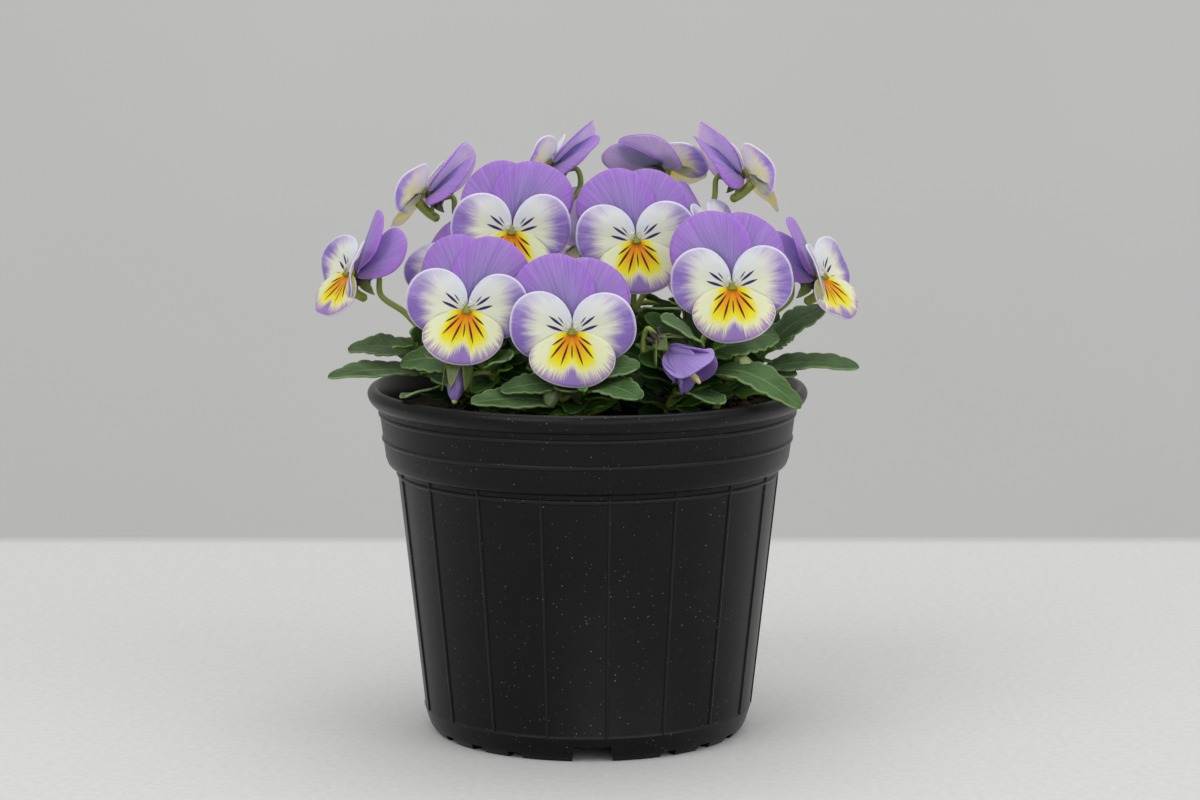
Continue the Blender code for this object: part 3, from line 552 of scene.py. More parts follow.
@dataclass(frozen=True)
class GrainFinish(Finish):
    """A surface of two close tones that a soft noise mixes, with a like noise as its relief.

    The grain is the size of its flecks in mm, and the depth is its relief in mm.
    """

    tone: str = "#c0c0c0"
    second: str = "#b8b8b8"
    grain: float = 1.5
    octaves: float = 3.0
    harshness: float = 0.6
    mixing: Ramp = (0.35, 0.65, 0.0, 1.0)
    depth: float = 0.05
    relief_grain: float = 1.0
    relief_octaves: float = 3.0

    def colour(self, tree: Tree) -> Socket:
        """The two tones, mixed by the noise."""
        n = partial(add, tree)
        place = n("TexCoord").node.outputs["Object"]
        spots = n("TexNoise", place, 1.0 / (self.grain * MM), self.octaves, self.harshness)
        amount = n("MapRange", spots, *self.mixing)
        return n("Mix RGBA", amount, self.tone, self.second)

    def height(self, tree: Tree) -> tuple[Socket, float] | None:
        """A like noise as a relief, or None where the surface is smooth."""
        if not self.depth:
            return None
        place = add(tree, "TexCoord").node.outputs["Object"]
        scale = 1.0 / (self.grain * self.relief_grain * MM)
        return add(tree, "TexNoise", place, scale, self.relief_octaves, self.harshness), self.depth * MM


@dataclass(frozen=True)
class StalkFinish(GrainFinish):
    """A living stalk or sepal: a smooth skin, a little glossy, with darker flecks a few millimetres long."""

    name: str = "viola_stalk"
    roughness: float = 0.42
    subsurface: float = 0.06
    tone: str = "#8a9c42"
    second: str = "#5f7226"
    grain: float = 2.5
    mixing: Ramp = (0.45, 0.75, 0.0, 0.7)
    depth: float = 0.0


@dataclass(frozen=True)
class SoilFinish(GrainFinish):
    """Moist peat potting soil: nearly black crumbs and brown fibres, quite dull and deeply rough."""

    name: str = "peat_potting_soil"
    roughness: float = 0.9
    specular: float = 0.25
    tone: str = "#19120d"
    second: str = "#3d2a1c"
    grain: float = 1.6
    octaves: float = 4.0
    harshness: float = 0.7
    mixing: Ramp = (0.42, 0.68, 0.0, 1.0)
    depth: float = 0.8
    relief_grain: float = 0.6
    relief_octaves: float = 5.0


@dataclass(frozen=True)
class PotFinish(Finish):
    """Black injection-moulded polypropylene: fine spark-eroded grain, a soft sheen and pale dust specks."""

    name: str = "moulded_polypropylene_black"
    roughness: float = 0.33
    specular: float = 0.2
    black: str = "#030304"
    grey: str = "#09090b"
    # Painted highlight along the crests of the rings and ribs, where light catches them
    crest_highlight: str = "#1b1b1e"
    dust: str = "#9a9a9e"
    # The real grain is about 0.1 mm; it is drawn at 0.35 mm so that it shows
    grain: float = 0.35
    # One speck of dust to each cell of this size in mm
    speck: float = 1.25
    relief: float = 0.05 * MM
    # Clouds about 22 mm across, and patches of dust about 14 mm across
    clouds: float = 45.0
    dust_patches: float = 70.0
    # Levels of the rings; then the first rib's angle, how many, their radius and the levels of their ends
    rings: tuple[float, ...] = (0.0877, 0.0808, 0.0712, 0.0070)
    ribs: tuple[float, int, float, float, float] = (radians(-83.4), 18, 0.0485, 0.0072, 0.0705)

    def colour(self, tree: Tree) -> Socket:
        """Black with faint grey clouds, a painted highlight along the crests of the rings and ribs, and fine
        dust.
        """
        n = partial(add, tree)
        place = n("TexCoord").node.outputs["Object"]
        cloud = n("MapRange", n("TexNoise", place, self.clouds, 4.0, 0.6), 0.35, 0.7)
        body = n("Mix RGBA", cloud, self.black, self.grey)
        body = n("Mix RGBA", self.crest_highlights(tree, place), body, self.crest_highlight)
        cells = n("TexVoronoi", place, 1.0 / (self.speck * MM), feature="F1")
        patch = n("MapRange", n("TexNoise", place, self.dust_patches, 3.0, 0.6), 0.38, 0.6, 0.15, 1.0)
        dot = n("Math MULTIPLY", n("MapRange", cells, 0.06, 0.15, 1.0, 0.0), patch)
        some = n("MapRange", n("SeparateColor", cells.node.outputs["Color"]), 0.25, 0.95, 0.0, 0.75)
        dust = n("Math MULTIPLY", dot, some)
        return n("Mix RGBA", dust, body, self.dust)

    def crest_highlights(self, tree: Tree, place: Socket) -> Socket:
        """The painted highlight along the crests of the rings and of the upright ribs, as a mask.

        Args:
            tree: the node tree.
            place: the place on the pot, in metres.

        Returns:
            The mask's socket.
        """
        n = partial(add, tree)
        x, y, z = n("SeparateXYZ", place).node.outputs[:3]
        first, count, radius, foot, top = self.ribs
        turn = n("Math SUBTRACT", n("Math ARCTAN2", y, x), first)
        phase = n("Math MULTIPLY", turn, count / tau)
        off = n("Math SUBTRACT", phase, n("Math ROUND", phase))
        arc = n("Math MULTIPLY", n("Math ABSOLUTE", off), radius * tau / count)
        middle = n("Math ABSOLUTE", n("Math SUBTRACT", z, (foot + top) / 2))
        along_rib = n("Math LESS_THAN", middle, (top - foot) / 2)
        # Painted highlight along each rib's crest
        crest_highlight = n("MapRange", arc, 0.20 * MM, 0.50 * MM, 0.75, 0.0)
        mask = n("Math MULTIPLY", crest_highlight, along_rib)
        # Painted highlight along each ring's crest
        for level in self.rings:
            away = n("Math ABSOLUTE", n("Math SUBTRACT", z, level))
            mask = n("Math MAXIMUM", mask, n("MapRange", away, 0.20 * MM, 0.60 * MM, 0.8, 0.0))
        return mask

    def height(self, tree: Tree) -> tuple[Socket, float]:
        """The mould's grain."""
        place = add(tree, "TexCoord").node.outputs["Object"]
        return add(tree, "TexNoise", place, 1.0 / (self.grain * MM), 2.0, 0.6), self.relief


@dataclass(frozen=True)
class TableFinish(GrainFinish):
    """Pale cloth whose far edge fades into the wall, as it does out of focus."""

    far: Pair = (0.264, 0.279)
    beyond: str = "#bfbebb"

    def colour(self, tree: Tree) -> Socket:
        """The cloth's two tones, turning to the wall's over the last stretch."""
        n = partial(add, tree)
        away = n("SeparateXYZ", n("TexCoord").node.outputs["Object"]).node.outputs[1]
        fade = n("MapRange", away, *self.far, 0.0, 1.0, interpolation_type="SMOOTHSTEP")
        return n("Mix RGBA", fade, super().colour(tree), self.beyond)


# Petals: velvet in front. Behind, the skin is paler and lets the light of the far side through
UPPER_FRONT = UpperPetal()
# Painted light: the three back finishes are paler than the real skin too, for light shining through
UPPER_BACK = UpperPetal(
    name="viola_petal_violet_back", foot="#aaa0f4", middle="#c6bcff", edge="#bfa6fc", vein="#a399ea",
    glint="#e0daff", veins=0.45, subsurface=1.0, depth_of_light=2.0,
)
SIDE_FRONT = SidePetal()
SIDE_BACK = SidePetal(
    name="viola_petal_side_back", patch="#a594ee", deep="#8a76dc", cream="#faf4b4", cool="#f0f0ff",
    show=0.95, dashes=(), subsurface=1.0, depth_of_light=2.0,
)
LOWER_FRONT = LowerPetal()
LOWER_BACK = LowerPetal(
    name="viola_petal_lower_back", cream="#fbf09a", violet="#b7a2e4", mauve="#c9b4d8", line="#d8c860",
    show=0.4, subsurface=1.0, depth_of_light=2.0,
)
# Half-grown petals: deeper in colour inside the bud, and greyer with strong veins outside
BUD_INSIDE = UpperPetal(
    name="viola_bud_violet_inside", foot="#43346c", middle="#665296", edge="#8a72b8", vein="#4b3a76",
    glint="#826eaa",
)
BUD_OUTSIDE = UpperPetal(
    name="viola_bud_violet", foot="#8873b4", middle="#957ebe", edge="#a089ca", vein="#68549a",
    glint="#ae9ad2", veins=0.75,
)
# Leaves: a waxy upper side, a paler matt under side, a darker copy as painted shade, and bright new ones
LEAF_TOP = LeafFinish()
LEAF_UNDER = LeafFinish(
    name="viola_leaf_under_side", dull="#86a06a", fresh="#6f953c", shade="#5a7c34", vein="#a9bf7c",
    roughness=0.6,
)
# Painted shade: a darker copy of the upper side for leaves deep in the foliage
LEAF_PAINTED_SHADE = LeafFinish(
    name="viola_leaf_shaded", dull="#2a4814", fresh="#20420c", shade="#0c1c04", vein="#456528",
    vein_strength=0.3, specular=0.16, roughness=0.6,
)
LEAF_YOUNG = LeafFinish(
    name="viola_leaf_young", dull="#4f8022", fresh="#5c931e", shade="#356410", vein="#86b045",
    vein_strength=0.3,
)
# Green skins: pale stalks, greyer sepals, their nearly black ears, a greenish spur, and pale closed buds
STALK = StalkFinish()
SEPAL = StalkFinish(name="viola_sepal", tone="#66763a", second="#434c2c", grain=1.6)
AURICLE = StalkFinish(name="viola_calyx_dark", tone="#3c3328", second="#241a24", grain=1.2)
SPUR = StalkFinish(name="viola_spur", tone="#8f9a3c", second="#6f7f2c", grain=2.2)
PALE_BUD = StalkFinish(name="viola_bud_sepal", tone="#93a06c", second="#66764a", grain=1.0)
# The throat: a dull olive style head, and hairs that catch the light; the pistil is cream and soft
STYLE = StalkFinish(name="viola_style_head", tone="#86861a", second="#484e0e", grain=0.8, roughness=0.5)
HAIR = GrainFinish(name="viola_throat_hair", tone="#fbfaf0", second="#f0eedc", roughness=0.6, subsurface=0.2)
PISTIL_PALE = GrainFinish(
    name="viola_pistil_pale", tone="#ddd58a", second="#c9c070", roughness=0.5, subsurface=0.1
)
# Pot and soil: near-black plastic under dust, dull peat, and rusty brown bark with a coarse relief
POT = PotFinish()
SOIL = SoilFinish()
BARK = GrainFinish(name="bark_chips", tone="#8a5430", second="#5a3620", grain=1.2, depth=0.2, roughness=0.85)
# The stage: matt woven cloth and a matt painted wall, both quiet and pale
TABLE = TableFinish(
    name="table_cloth_pale", tone="#d9d8d5", second="#d2d1ce", grain=2.2, depth=0.06, roughness=0.85
)
WALL = GrainFinish(
    name="studio_wall_grey", tone="#d6d5d1", second="#d2d1cd", grain=600.0, depth=0.0, roughness=0.9
)
# The least that a petal's sideways share counts as pointing left
ASIDE = 0.01


@dataclass(frozen=True)
class Petal:
    """One petal on its bloom's axes, in degrees and metres."""

    turn: float
    length: float
    width: float
    level: float
    lean: float
    curl: float
    twist: float = 0.0

    def mirrored(self) -> "Petal":
        """The same petal with left and right exchanged."""
        return replace(self, turn=180 - self.turn, twist=-self.twist)

    @property
    def on_the_left(self) -> bool:
        """Whether it points to the bloom's left, so that its markings are a mirror image."""
        return cos(radians(self.turn)) < -ASIDE


class Form(Enum):
    """How a bloom holds its petals."""

    OPEN = "open"
    OPEN_RIGHT = "open, the right upper petal in front"
    TURNED_LEFT = "turned to the left"
    TURNED_RIGHT = "turned to the right"
    PROFILE_LEFT = "in profile, facing left"
    PROFILE_RIGHT = "in profile, facing right"
    AWAY = "facing away"


@dataclass(frozen=True)
class Bloom:
    """Where one bloom faces, and the shoot and share of its stem that its stalk leaves from."""

    name: str
    throat: Triple
    azimuth: float
    elevation: float
    roll: float
    size: float
    shoot: str
    start: float
    form: Form = Form.OPEN

    def frame(self) -> Matrix:
        """The bloom's own axes in the world: right, up and outward, at its throat.

        Returns:
            The matrix that takes the bloom's own places into the world.
        """
        azimuth, elevation = radians(self.azimuth), radians(self.elevation)
        right = Vector((cos(azimuth), sin(azimuth), 0.0))
        flat = Vector((sin(azimuth), -cos(azimuth), 0.0))
        outward = flat * cos(elevation) + UP * sin(elevation)
        axes = Matrix((right, outward.cross(right), outward)).transposed().to_4x4()
        roll = Matrix.Rotation(radians(self.roll), 4, "Z")
        return Matrix.Translation(Vector(self.throat)) @ axes @ roll

    def axis(self, levels: Iterable[float]) -> list[Vector]:
        """Places in the world at these levels on the bloom's own axis."""
        return [self.frame() @ Vector((0, 0, level)) for level in levels]


@dataclass(frozen=True)
class Shoot:
    """One stem: where it stands in the soil, which way it leans and how many small leaves it has."""

    name: str
    root: tuple[float, float]
    lean: float
    reach: float
    rise: float
    leaves: int


@dataclass(frozen=True)
class BigLeaf:
    """A large leaf that reaches the pot's lip or past it."""

    shoot: str
    start: float
    tip: Triple
    width: float
    arch: float


# Petals: turn, length, width, level, lean, curl and twist
UPPER_PETALS = (
    Petal(118, 0.0222, 0.0225, -0.002, -11, -0.001),
    Petal(63, 0.0221, 0.022, -0.002, -16, -0.001),
)
FACE_PETALS = (
    Petal(172, 0.0172, 0.018, -0.0003, 7, -0.0006),
    Petal(8, 0.0172, 0.018, -0.0003, 7, -0.0006),
    Petal(-90, 0.0158, 0.0228, 0.0001, 14, 0.0008),
)
TURNED_UPPER = (
    Petal(66, 0.0205, 0.019, -0.002, -20, -0.001),
    Petal(100, 0.0218, 0.02, -0.002, -6, -0.001, -18),
)
TURNED_FACE = (
    Petal(162, 0.0172, 0.018, -0.0003, 7, -0.0006),
    Petal(8, 0.0172, 0.018, -0.0003, 28, -0.0006),
    FACE_PETALS[2],
)
PROFILE_UPPER = (
    Petal(62, 0.0215, 0.0225, -0.002, -28, -0.001, 6),
    Petal(118, 0.0218, 0.022, -0.002, -12, -0.001, -10),
)
PROFILE_FACE = (
    Petal(172, 0.0172, 0.018, -0.0003, 10, -0.0006),
    Petal(8, 0.0172, 0.018, -0.0003, 18, -0.0006),
    FACE_PETALS[2],
)
AWAY_UPPER = (
    Petal(104, 0.0215, 0.0225, -0.002, -6, -0.001),
    Petal(56, 0.0205, 0.02, -0.002, -16, -0.001),
)
HALF_OPEN_PETALS = (
    Petal(120, 0.015, 0.014, -0.0014, 58, 0.003),
    Petal(25, 0.014, 0.013, -0.0014, 62, 0.003),
    Petal(-90, 0.0125, 0.013, -0.0014, 66, 0.003),
)

# The two side petals of the opening bud, which only the scene has
INNER_PETALS = (
    Petal(192, 0.0104, 0.0112, -0.0018, 64, 0.0028),
    Petal(-32, 0.0104, 0.0104, -0.0018, 66, 0.0028),
)


def mirrored(petals: Sequence[Petal]) -> tuple[Petal, ...]:
    """These petals with left and right exchanged."""
    return tuple(petal.mirrored() for petal in petals)


# Each form's upper petals, and its side and lower ones
FORMS = {
    Form.OPEN: (UPPER_PETALS, FACE_PETALS),
    Form.OPEN_RIGHT: (mirrored(UPPER_PETALS), FACE_PETALS),
    Form.TURNED_LEFT: (TURNED_UPPER, TURNED_FACE),
    Form.TURNED_RIGHT: (mirrored(TURNED_UPPER), mirrored(TURNED_FACE)),
    Form.PROFILE_LEFT: (PROFILE_UPPER, PROFILE_FACE),
    Form.PROFILE_RIGHT: (mirrored(PROFILE_UPPER), mirrored(PROFILE_FACE)),
    Form.AWAY: (AWAY_UPPER, FACE_PETALS),
}
# Blooms: name, throat, azimuth, elevation, roll, size, shoot, start and form
BLOOMS = (
    Bloom("bloom_01", (-0.0039, -0.038, 0.1146), 0, 8, 0, 1.0, "front", 0.75),
    Bloom("bloom_02", (-0.0316, -0.031, 0.1195), -8, 8, -4, 0.98, "front_left", 0.9, Form.OPEN_RIGHT),
    Bloom("bloom_03", (0.0383, -0.026, 0.1251), 3, 8, 2, 1.0, "front_right", 0.9),
    Bloom("bloom_04", (0.0131, -0.01, 0.1358), 2, 8, 4, 0.98, "middle", 0.85),
    Bloom("bloom_05", (-0.0203, -0.008, 0.138), -3, 8, -2, 0.98, "middle_left", 0.9, Form.OPEN_RIGHT),
    Bloom("bloom_06", (-0.0647, -0.005, 0.1263), -58, 22, 0, 0.9, "left", 0.85, Form.TURNED_LEFT),
    Bloom("bloom_07", (0.0637, -0.005, 0.1254), 58, 22, 0, 0.9, "right", 0.85, Form.TURNED_RIGHT),
    Bloom("bloom_08", (-0.0464, 0.029, 0.1455), -104, 26, 0, 0.86, "back_left", 0.9, Form.PROFILE_LEFT),
    Bloom("bloom_09", (-0.0117, 0.0368, 0.1532), -102, 30, 0, 0.8, "back_left", 0.7, Form.PROFILE_LEFT),
    Bloom("bloom_10", (0.0209, 0.032, 0.1536), 146, 48, 0, 0.88, "back_right", 0.7, Form.AWAY),
    Bloom("bloom_11", (0.045, 0.0289, 0.1508), 102, 24, 0, 0.9, "back_right", 0.9, Form.PROFILE_RIGHT),
    Bloom("bloom_12", (-0.0381, 0.004, 0.1272), -40, 28, 14, 0.86, "middle_left", 0.6),
    Bloom("bloom_13", (0.0345, 0.0075, 0.1372), 66, 20, 0, 0.78, "middle", 0.6),
    Bloom("bloom_14", (0.003, 0.054, 0.13), 176, 12, 0, 0.94, "back", 0.9),
    Bloom("bloom_15", (-0.03, 0.048, 0.118), -152, 14, 0, 0.94, "back", 0.6),
    Bloom("bloom_16", (0.0345, 0.05, 0.119), 150, 14, 0, 0.94, "back", 0.75),
)
BUDS = (
    Bloom("opening_bud", (0.0225, -0.035, 0.108), 58, -38, 0, 1.0, "front_right", 0.6),
    Bloom("violet_bud", (-0.0344, -0.029, 0.1005), -20, -72, 0, 1.0, "front_left", 0.6),
)
GREEN_BUDS = (
    Bloom("front_green_bud", (-0.0101, -0.0345, 0.0945), -30, -64, 0, 1.0, "front", 0.6),
    Bloom("right_green_bud", (0.0438, -0.029, 0.1), 40, -55, 0, 1.0, "front_right", 0.6),
)
# Shoots: name, root, lean, reach, rise and leaves
SHOOTS = (
    Shoot("front", (-0.002, -0.023), -95, 0.01, 0.015, 7),
    Shoot("front_left", (-0.019, -0.017), -140, 0.014, 0.018, 7),
    Shoot("front_right", (0.021, -0.017), -38, 0.013, 0.018, 7),
    Shoot("middle", (0.008, 0.001), -10, 0.006, 0.026, 6),
    Shoot("middle_left", (-0.013, 0.004), 170, 0.008, 0.026, 6),
    Shoot("left", (-0.033, 0.0), 182, 0.013, 0.016, 6),
    Shoot("right", (0.035, 0.002), -4, 0.013, 0.016, 6),
    Shoot("back_left", (-0.022, 0.021), 128, 0.01, 0.024, 4),
    Shoot("back_right", (0.024, 0.021), 48, 0.01, 0.024, 4),
    Shoot("back", (0.0, 0.03), 92, 0.01, 0.017, 3),
)
# Large leaves: shoot, start, tip, width and arch
BIG_LEAVES = (
    BigLeaf("left", 0.5, (-0.0701, -0.01, 0.0985), 0.012, 0.003),
    BigLeaf("left", 0.85, (-0.0656, 0.003, 0.1045), 0.01, 0.003),
    BigLeaf("left", 0.22, (-0.048, -0.035, 0.0968), 0.01, 0.002),
    BigLeaf("front_left", 0.8, (-0.05, -0.017, 0.1035), 0.011, 0.003),
    BigLeaf("front_left", 0.95, (-0.043, -0.03, 0.1075), 0.012, 0.003),
    BigLeaf("right", 0.55, (0.0737, -0.005, 0.1006), 0.012, 0.003),
    BigLeaf("front_right", 0.7, (0.056, -0.04, 0.0945), 0.012, 0.006),
    BigLeaf("front_right", 0.35, (0.0345, -0.0455, 0.0965), 0.011, 0.002),
    BigLeaf("front", 0.3, (-0.03, -0.046, 0.0968), 0.01, 0.002),
    BigLeaf("front", 0.7, (-0.0225, -0.04, 0.099), 0.008, 0.002),
    BigLeaf("front", 0.6, (0.014, -0.05, 0.0985), 0.01, 0.003),
    BigLeaf("right", 0.9, (0.056, 0.006, 0.109), 0.01, 0.003),
    BigLeaf("front_right", 0.95, (0.051, -0.018, 0.111), 0.012, 0.003),
    BigLeaf("right", 0.3, (0.057, -0.003, 0.0985), 0.011, 0.002),
    BigLeaf("middle", 0.8, (0.026, -0.02, 0.118), 0.011, 0.003),
    BigLeaf("back_right", 0.3, (0.054, 0.035, 0.101), 0.012, 0.004),
    BigLeaf("back_left", 0.3, (-0.056, 0.035, 0.1005), 0.012, 0.004),
    BigLeaf("back", 0.4, (0.005, 0.062, 0.1), 0.012, 0.005),
    BigLeaf("back", 0.7, (-0.024, 0.058, 0.1035), 0.011, 0.004),
)
# Where each flower's parts are on its own axes, in metres
STALK_JOIN = Vector((0.0, 0.0004, -0.0058))
SPUR_ROUTE = (Vector((0.0, -0.0034, -0.0006)), Vector((0.0, -0.0052, -0.0086)))
PISTIL = (Vector((0.0, 0.0, -0.0020)), Vector((0.0, -0.0006, 0.0110)))
STYLE_ROUTE = (Vector((0.0, 0.0013, 0.0001)), Vector((0.0, 0.0, 0.0003)), Vector((0.0, -0.0012, 0.0001)))
SEPAL_TURNS = (90, 158, 216, 324, 382)
# Radius and level of the sepals' tips on the two violet buds
SEPAL_TIPS = {"opening_bud": (0.0062, 0.0006), "violet_bud": (0.0034, 0.0040)}
SOIL_LEVEL = 0.0876

# Points closer than this are one
MERGE = 0.00001
# How thick a petal is
SKIN = 0.00035
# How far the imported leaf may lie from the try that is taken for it
NEAR = 0.0007


def smooth_path(points: Sequence[Vector], steps: int) -> list[Vector]:
    """Draws a smooth line through points, without overshoot where they crowd.

    Args:
        points: the points to pass through, in order.
        steps: how many points to give each stretch.

    Returns:
        The line's points, the given first and last ones among them.
    """
    ends = [points[0] * 2 - points[1], *points, points[-1] * 2 - points[-2]]
    path: list[Vector] = []
    for a, b, c, d in zip(ends, ends[1:], ends[2:], ends[3:]):
        before, here, after = ((q - p).length ** 0.5 for p, q in ((a, b), (b, c), (c, d)))
        leave = ((b - a) / before - (c - a) / (before + here) + (c - b) / here) * here
        arrive = ((c - b) / here - (d - b) / (here + after) + (d - c) / after) * here
        path += interpolate_bezier(b, b + leave / 3, c - arrive / 3, c, steps + 1)[:-1]
    return [*path, points[-1].copy()]


def along(line: Line, z: float) -> float:
    """Radius at height z on the straight line between two (radius, z) points."""
    (r1, z1), (r2, z2) = line
    return r1 + (r2 - r1) * (z - z1) / (z2 - z1)


def reaching(length: float, angle: float, rise: float) -> Vector:
    """A reach of some length that points along an angle round the axis and rises by another."""
    flat = length * cos(rise)
    return Vector((flat * cos(angle), flat * sin(angle), length * sin(rise)))


def present(piece: bpy.types.Object, slot: str, nodes: Sequence[str]) -> bpy.types.Object:
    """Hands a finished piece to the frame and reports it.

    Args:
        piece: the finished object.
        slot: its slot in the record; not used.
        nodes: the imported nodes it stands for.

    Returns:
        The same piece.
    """
    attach(piece, "root")
    if nodes:
        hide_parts(*nodes)
    LOG.info("%s: %d faces", piece.name, len(piece.data.polygons))
    return piece


def shape_object(name: str, bm: BMesh) -> bpy.types.Object:
    """Makes a linked object from a bmesh, which it frees.

    Args:
        name: the object's name.
        bm: the bmesh.

    Returns:
        The object.
    """
    mesh = bpy.data.meshes.new(name)
    bm.to_mesh(mesh)
    bm.free()
    made = bpy.data.objects.new(name, mesh)
    bpy.context.scene.collection.objects.link(made)
    return made


class Workpiece:
    """A mesh in the making, with its own maps and finishes, that ends as one finished piece."""

    # How wide a spike's tip is, as a share of its foot
    spike_tip: float = 0.2

    def __init__(self, name: str, slot: str, nodes: Sequence[str] = ()) -> None:
        """Starts an empty mesh with its two maps and its variety layer.

        Args:
            name: the finished piece's name.
            slot: its slot in the record.
            nodes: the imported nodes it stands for.
        """
        self.name, self.slot, self.nodes = name, slot, tuple(nodes)
        self.bm = bmesh.new()
        self.surface_map = self.bm.loops.layers.uv.new("surface")
        self.span_map = self.bm.loops.layers.uv.new("span")
        self.variety = self.bm.faces.layers.float.new("variety")
        self.finishes: list[Finish] = []

    def dress(self, faces: Iterable[BMFace], finish: Finish, variety: float) -> None:
        """Gives faces a finish.

        Args:
            faces: the faces.
            finish: their finish.
            variety: a number from 0 to 1 that tells them from others of the same finish.
        """
        if finish not in self.finishes:
            self.finishes.append(finish)
        for face in faces:
            face.smooth = True
            face.material_index = self.finishes.index(finish)
            face[self.variety] = variety

    def skin(
        self,
        grid: tuple[int, int],
        surface: Surface,
        finish: Finish,
        variety: float = 0.5,
        spans: Callable[[float, float], Pair] | None = None,
        mirror: bool = False,
    ) -> Faces:
        """Lays a grid on a surface and welds it where it meets itself.

        Args:
            grid: how many faces across and along.
            surface: where each (across from -1 to 1, share from 0 to 1) goes.
            finish: the faces' finish.
            variety: as in dress.
            spans: sideways and forward in metres at each place, for the second map.
            mirror: runs the first map's across the other way.

        Returns:
            The faces that are left after the weld.
        """
        columns, rows = grid
        verts = bmesh.ops.create_grid(self.bm, x_segments=columns, y_segments=rows, size=1.0)["verts"]
        faces = list(dict.fromkeys(face for vert in verts for face in vert.link_faces))
        self.dress(faces, finish, variety)
        for face in faces:
            for loop in face.loops:
                across, share = loop.vert.co.x, (loop.vert.co.y + 1) / 2
                loop[self.surface_map].uv = (0.5 - across / 2 if mirror else 0.5 + across / 2, share)
                if spans:
                    loop[self.span_map].uv = [0.5 + length / SPAN_UNIT for length in spans(across, share)]
        for vert in verts:
            vert.co = surface(vert.co.x, (vert.co.y + 1) / 2)
        bmesh.ops.remove_doubles(self.bm, verts=verts, dist=MERGE)
        return [face for face in faces if face.is_valid]

    def blade(self, faces: Faces, thickness: float, under: Finish, variety: float) -> None:
        """Gives a skin a second side and a rim.

        Args:
            faces: the skin's faces.
            thickness: how far below the skin its second side lies.
            under: the second side's finish.
            variety: as in dress.
        """
        self.bm.normal_update()
        made = bmesh.ops.solidify(self.bm, geom=faces, thickness=thickness)["geom"]
        below = [item for item in made if isinstance(item, BMFace)]
        rim = {face for item in below for vert in item.verts for face in vert.link_faces}
        rim -= set(below)
        self.dress(below, under, variety)
        self.dress(rim, self.finishes[faces[0].material_index], variety)

    def tube(
        self,
        route: Sequence[Vector],
        radius: Callable[[float], float],
        finish: Finish,
        grid: tuple[int, int],
        ridges: tuple[int, float, float] = (4, 0.0, 0.0),
    ) -> None:
        """Sweeps a round section along a smooth line, with closed ends.

        Args:
            route: the points that the line passes through.
            radius: the section's radius at each share of the line, from 0 to 1.
            finish: the faces' finish.
            grid: how many faces round the section, and how many rows each stretch of the route gets.
            ridges: how many ridges run along it, their height as a share of the radius, and their
                twist in turns.
        """
        sides, steps = grid
        path = smooth_path(route, steps)
        pairs = zip([path[0], *path], [*path[1:], path[-1]])
        tangents = [(after - before).normalized() for before, after in pairs]
        side = tangents[0].orthogonal().normalized()
        sections = []
        for tangent, previous in zip(tangents, [tangents[0], *tangents]):
            side.rotate(previous.rotation_difference(tangent))
            side = (side - tangent * side.dot(tangent)).normalized()
            sections.append((side.copy(), tangent.cross(side)))
        last = len(path) - 1
        count, height, twist = ridges

        def surface(across: float, share: float) -> Vector:
            """The section's edge, or its middle on the two end rows."""
            row = round(share * (last + 2))
            index = min(max(row - 1, 0), last)
            if row in (0, last + 2):
                return path[index].copy()
            angle = across * pi
            wave = 1 + height * cos(count * (angle + tau * twist * index / last))
            right, up = sections[index]
            spoke = right * cos(angle) + up * sin(angle)
            return path[index] + spoke * radius(index / last) * wave

        self.skin((sides, last + 2), surface, finish)

    def spike(self, foot: Vector, tip: Vector, radius: float, finish: Finish, sides: int = 3) -> None:
        """Adds one thin cone.

        Args:
            foot: the middle of its foot.
            tip: the middle of its tip.
            radius: its foot's radius.
            finish: the faces' finish.
            sides: how many sides it has.
        """
        span = tip - foot
        turn = UP.rotation_difference(span).to_matrix().to_4x4()
        cone = bmesh.ops.create_cone(
            self.bm,
            cap_ends=True,
            segments=sides,
            radius1=radius,
            radius2=radius * self.spike_tip,
            depth=span.length,
            matrix=Matrix.Translation((foot + tip) / 2) @ turn,
        )
        self.dress({face for vert in cone["verts"] for face in vert.link_faces}, finish, 0.5)

    def done(self, limits: Box) -> bpy.types.Object:
        """Ends the mesh as a piece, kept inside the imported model's box.

        Args:
            limits: the box's lowest and highest corners.

        Returns:
            The finished piece.
        """
        low, high = limits
        for vert in self.bm.verts:
            vert.co = [min(max(c, low[i]), high[i]) for i, c in enumerate(vert.co)]
        piece = shape_object(self.name, self.bm)
        for finish in self.finishes:
            piece.data.materials.append(finish.material())
        return present(piece, self.slot, self.nodes)


class NodeShape:
    """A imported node's surface, which shows which of part.py's tries a leaf or stalk kept."""

    def __init__(self, node: str) -> None:
        """Reads the node's mesh from the frame."""
        mesh = bpy.data.objects[node].data
        self.tree = BVHTree.FromPolygons([v.co for v in mesh.vertices], [p.vertices for p in mesh.polygons])

    def gap(self, points: Iterable[Vector]) -> float:
        """The largest distance from any of these points to the node's surface."""
        return max(self.tree.find_nearest(point)[3] for point in points)


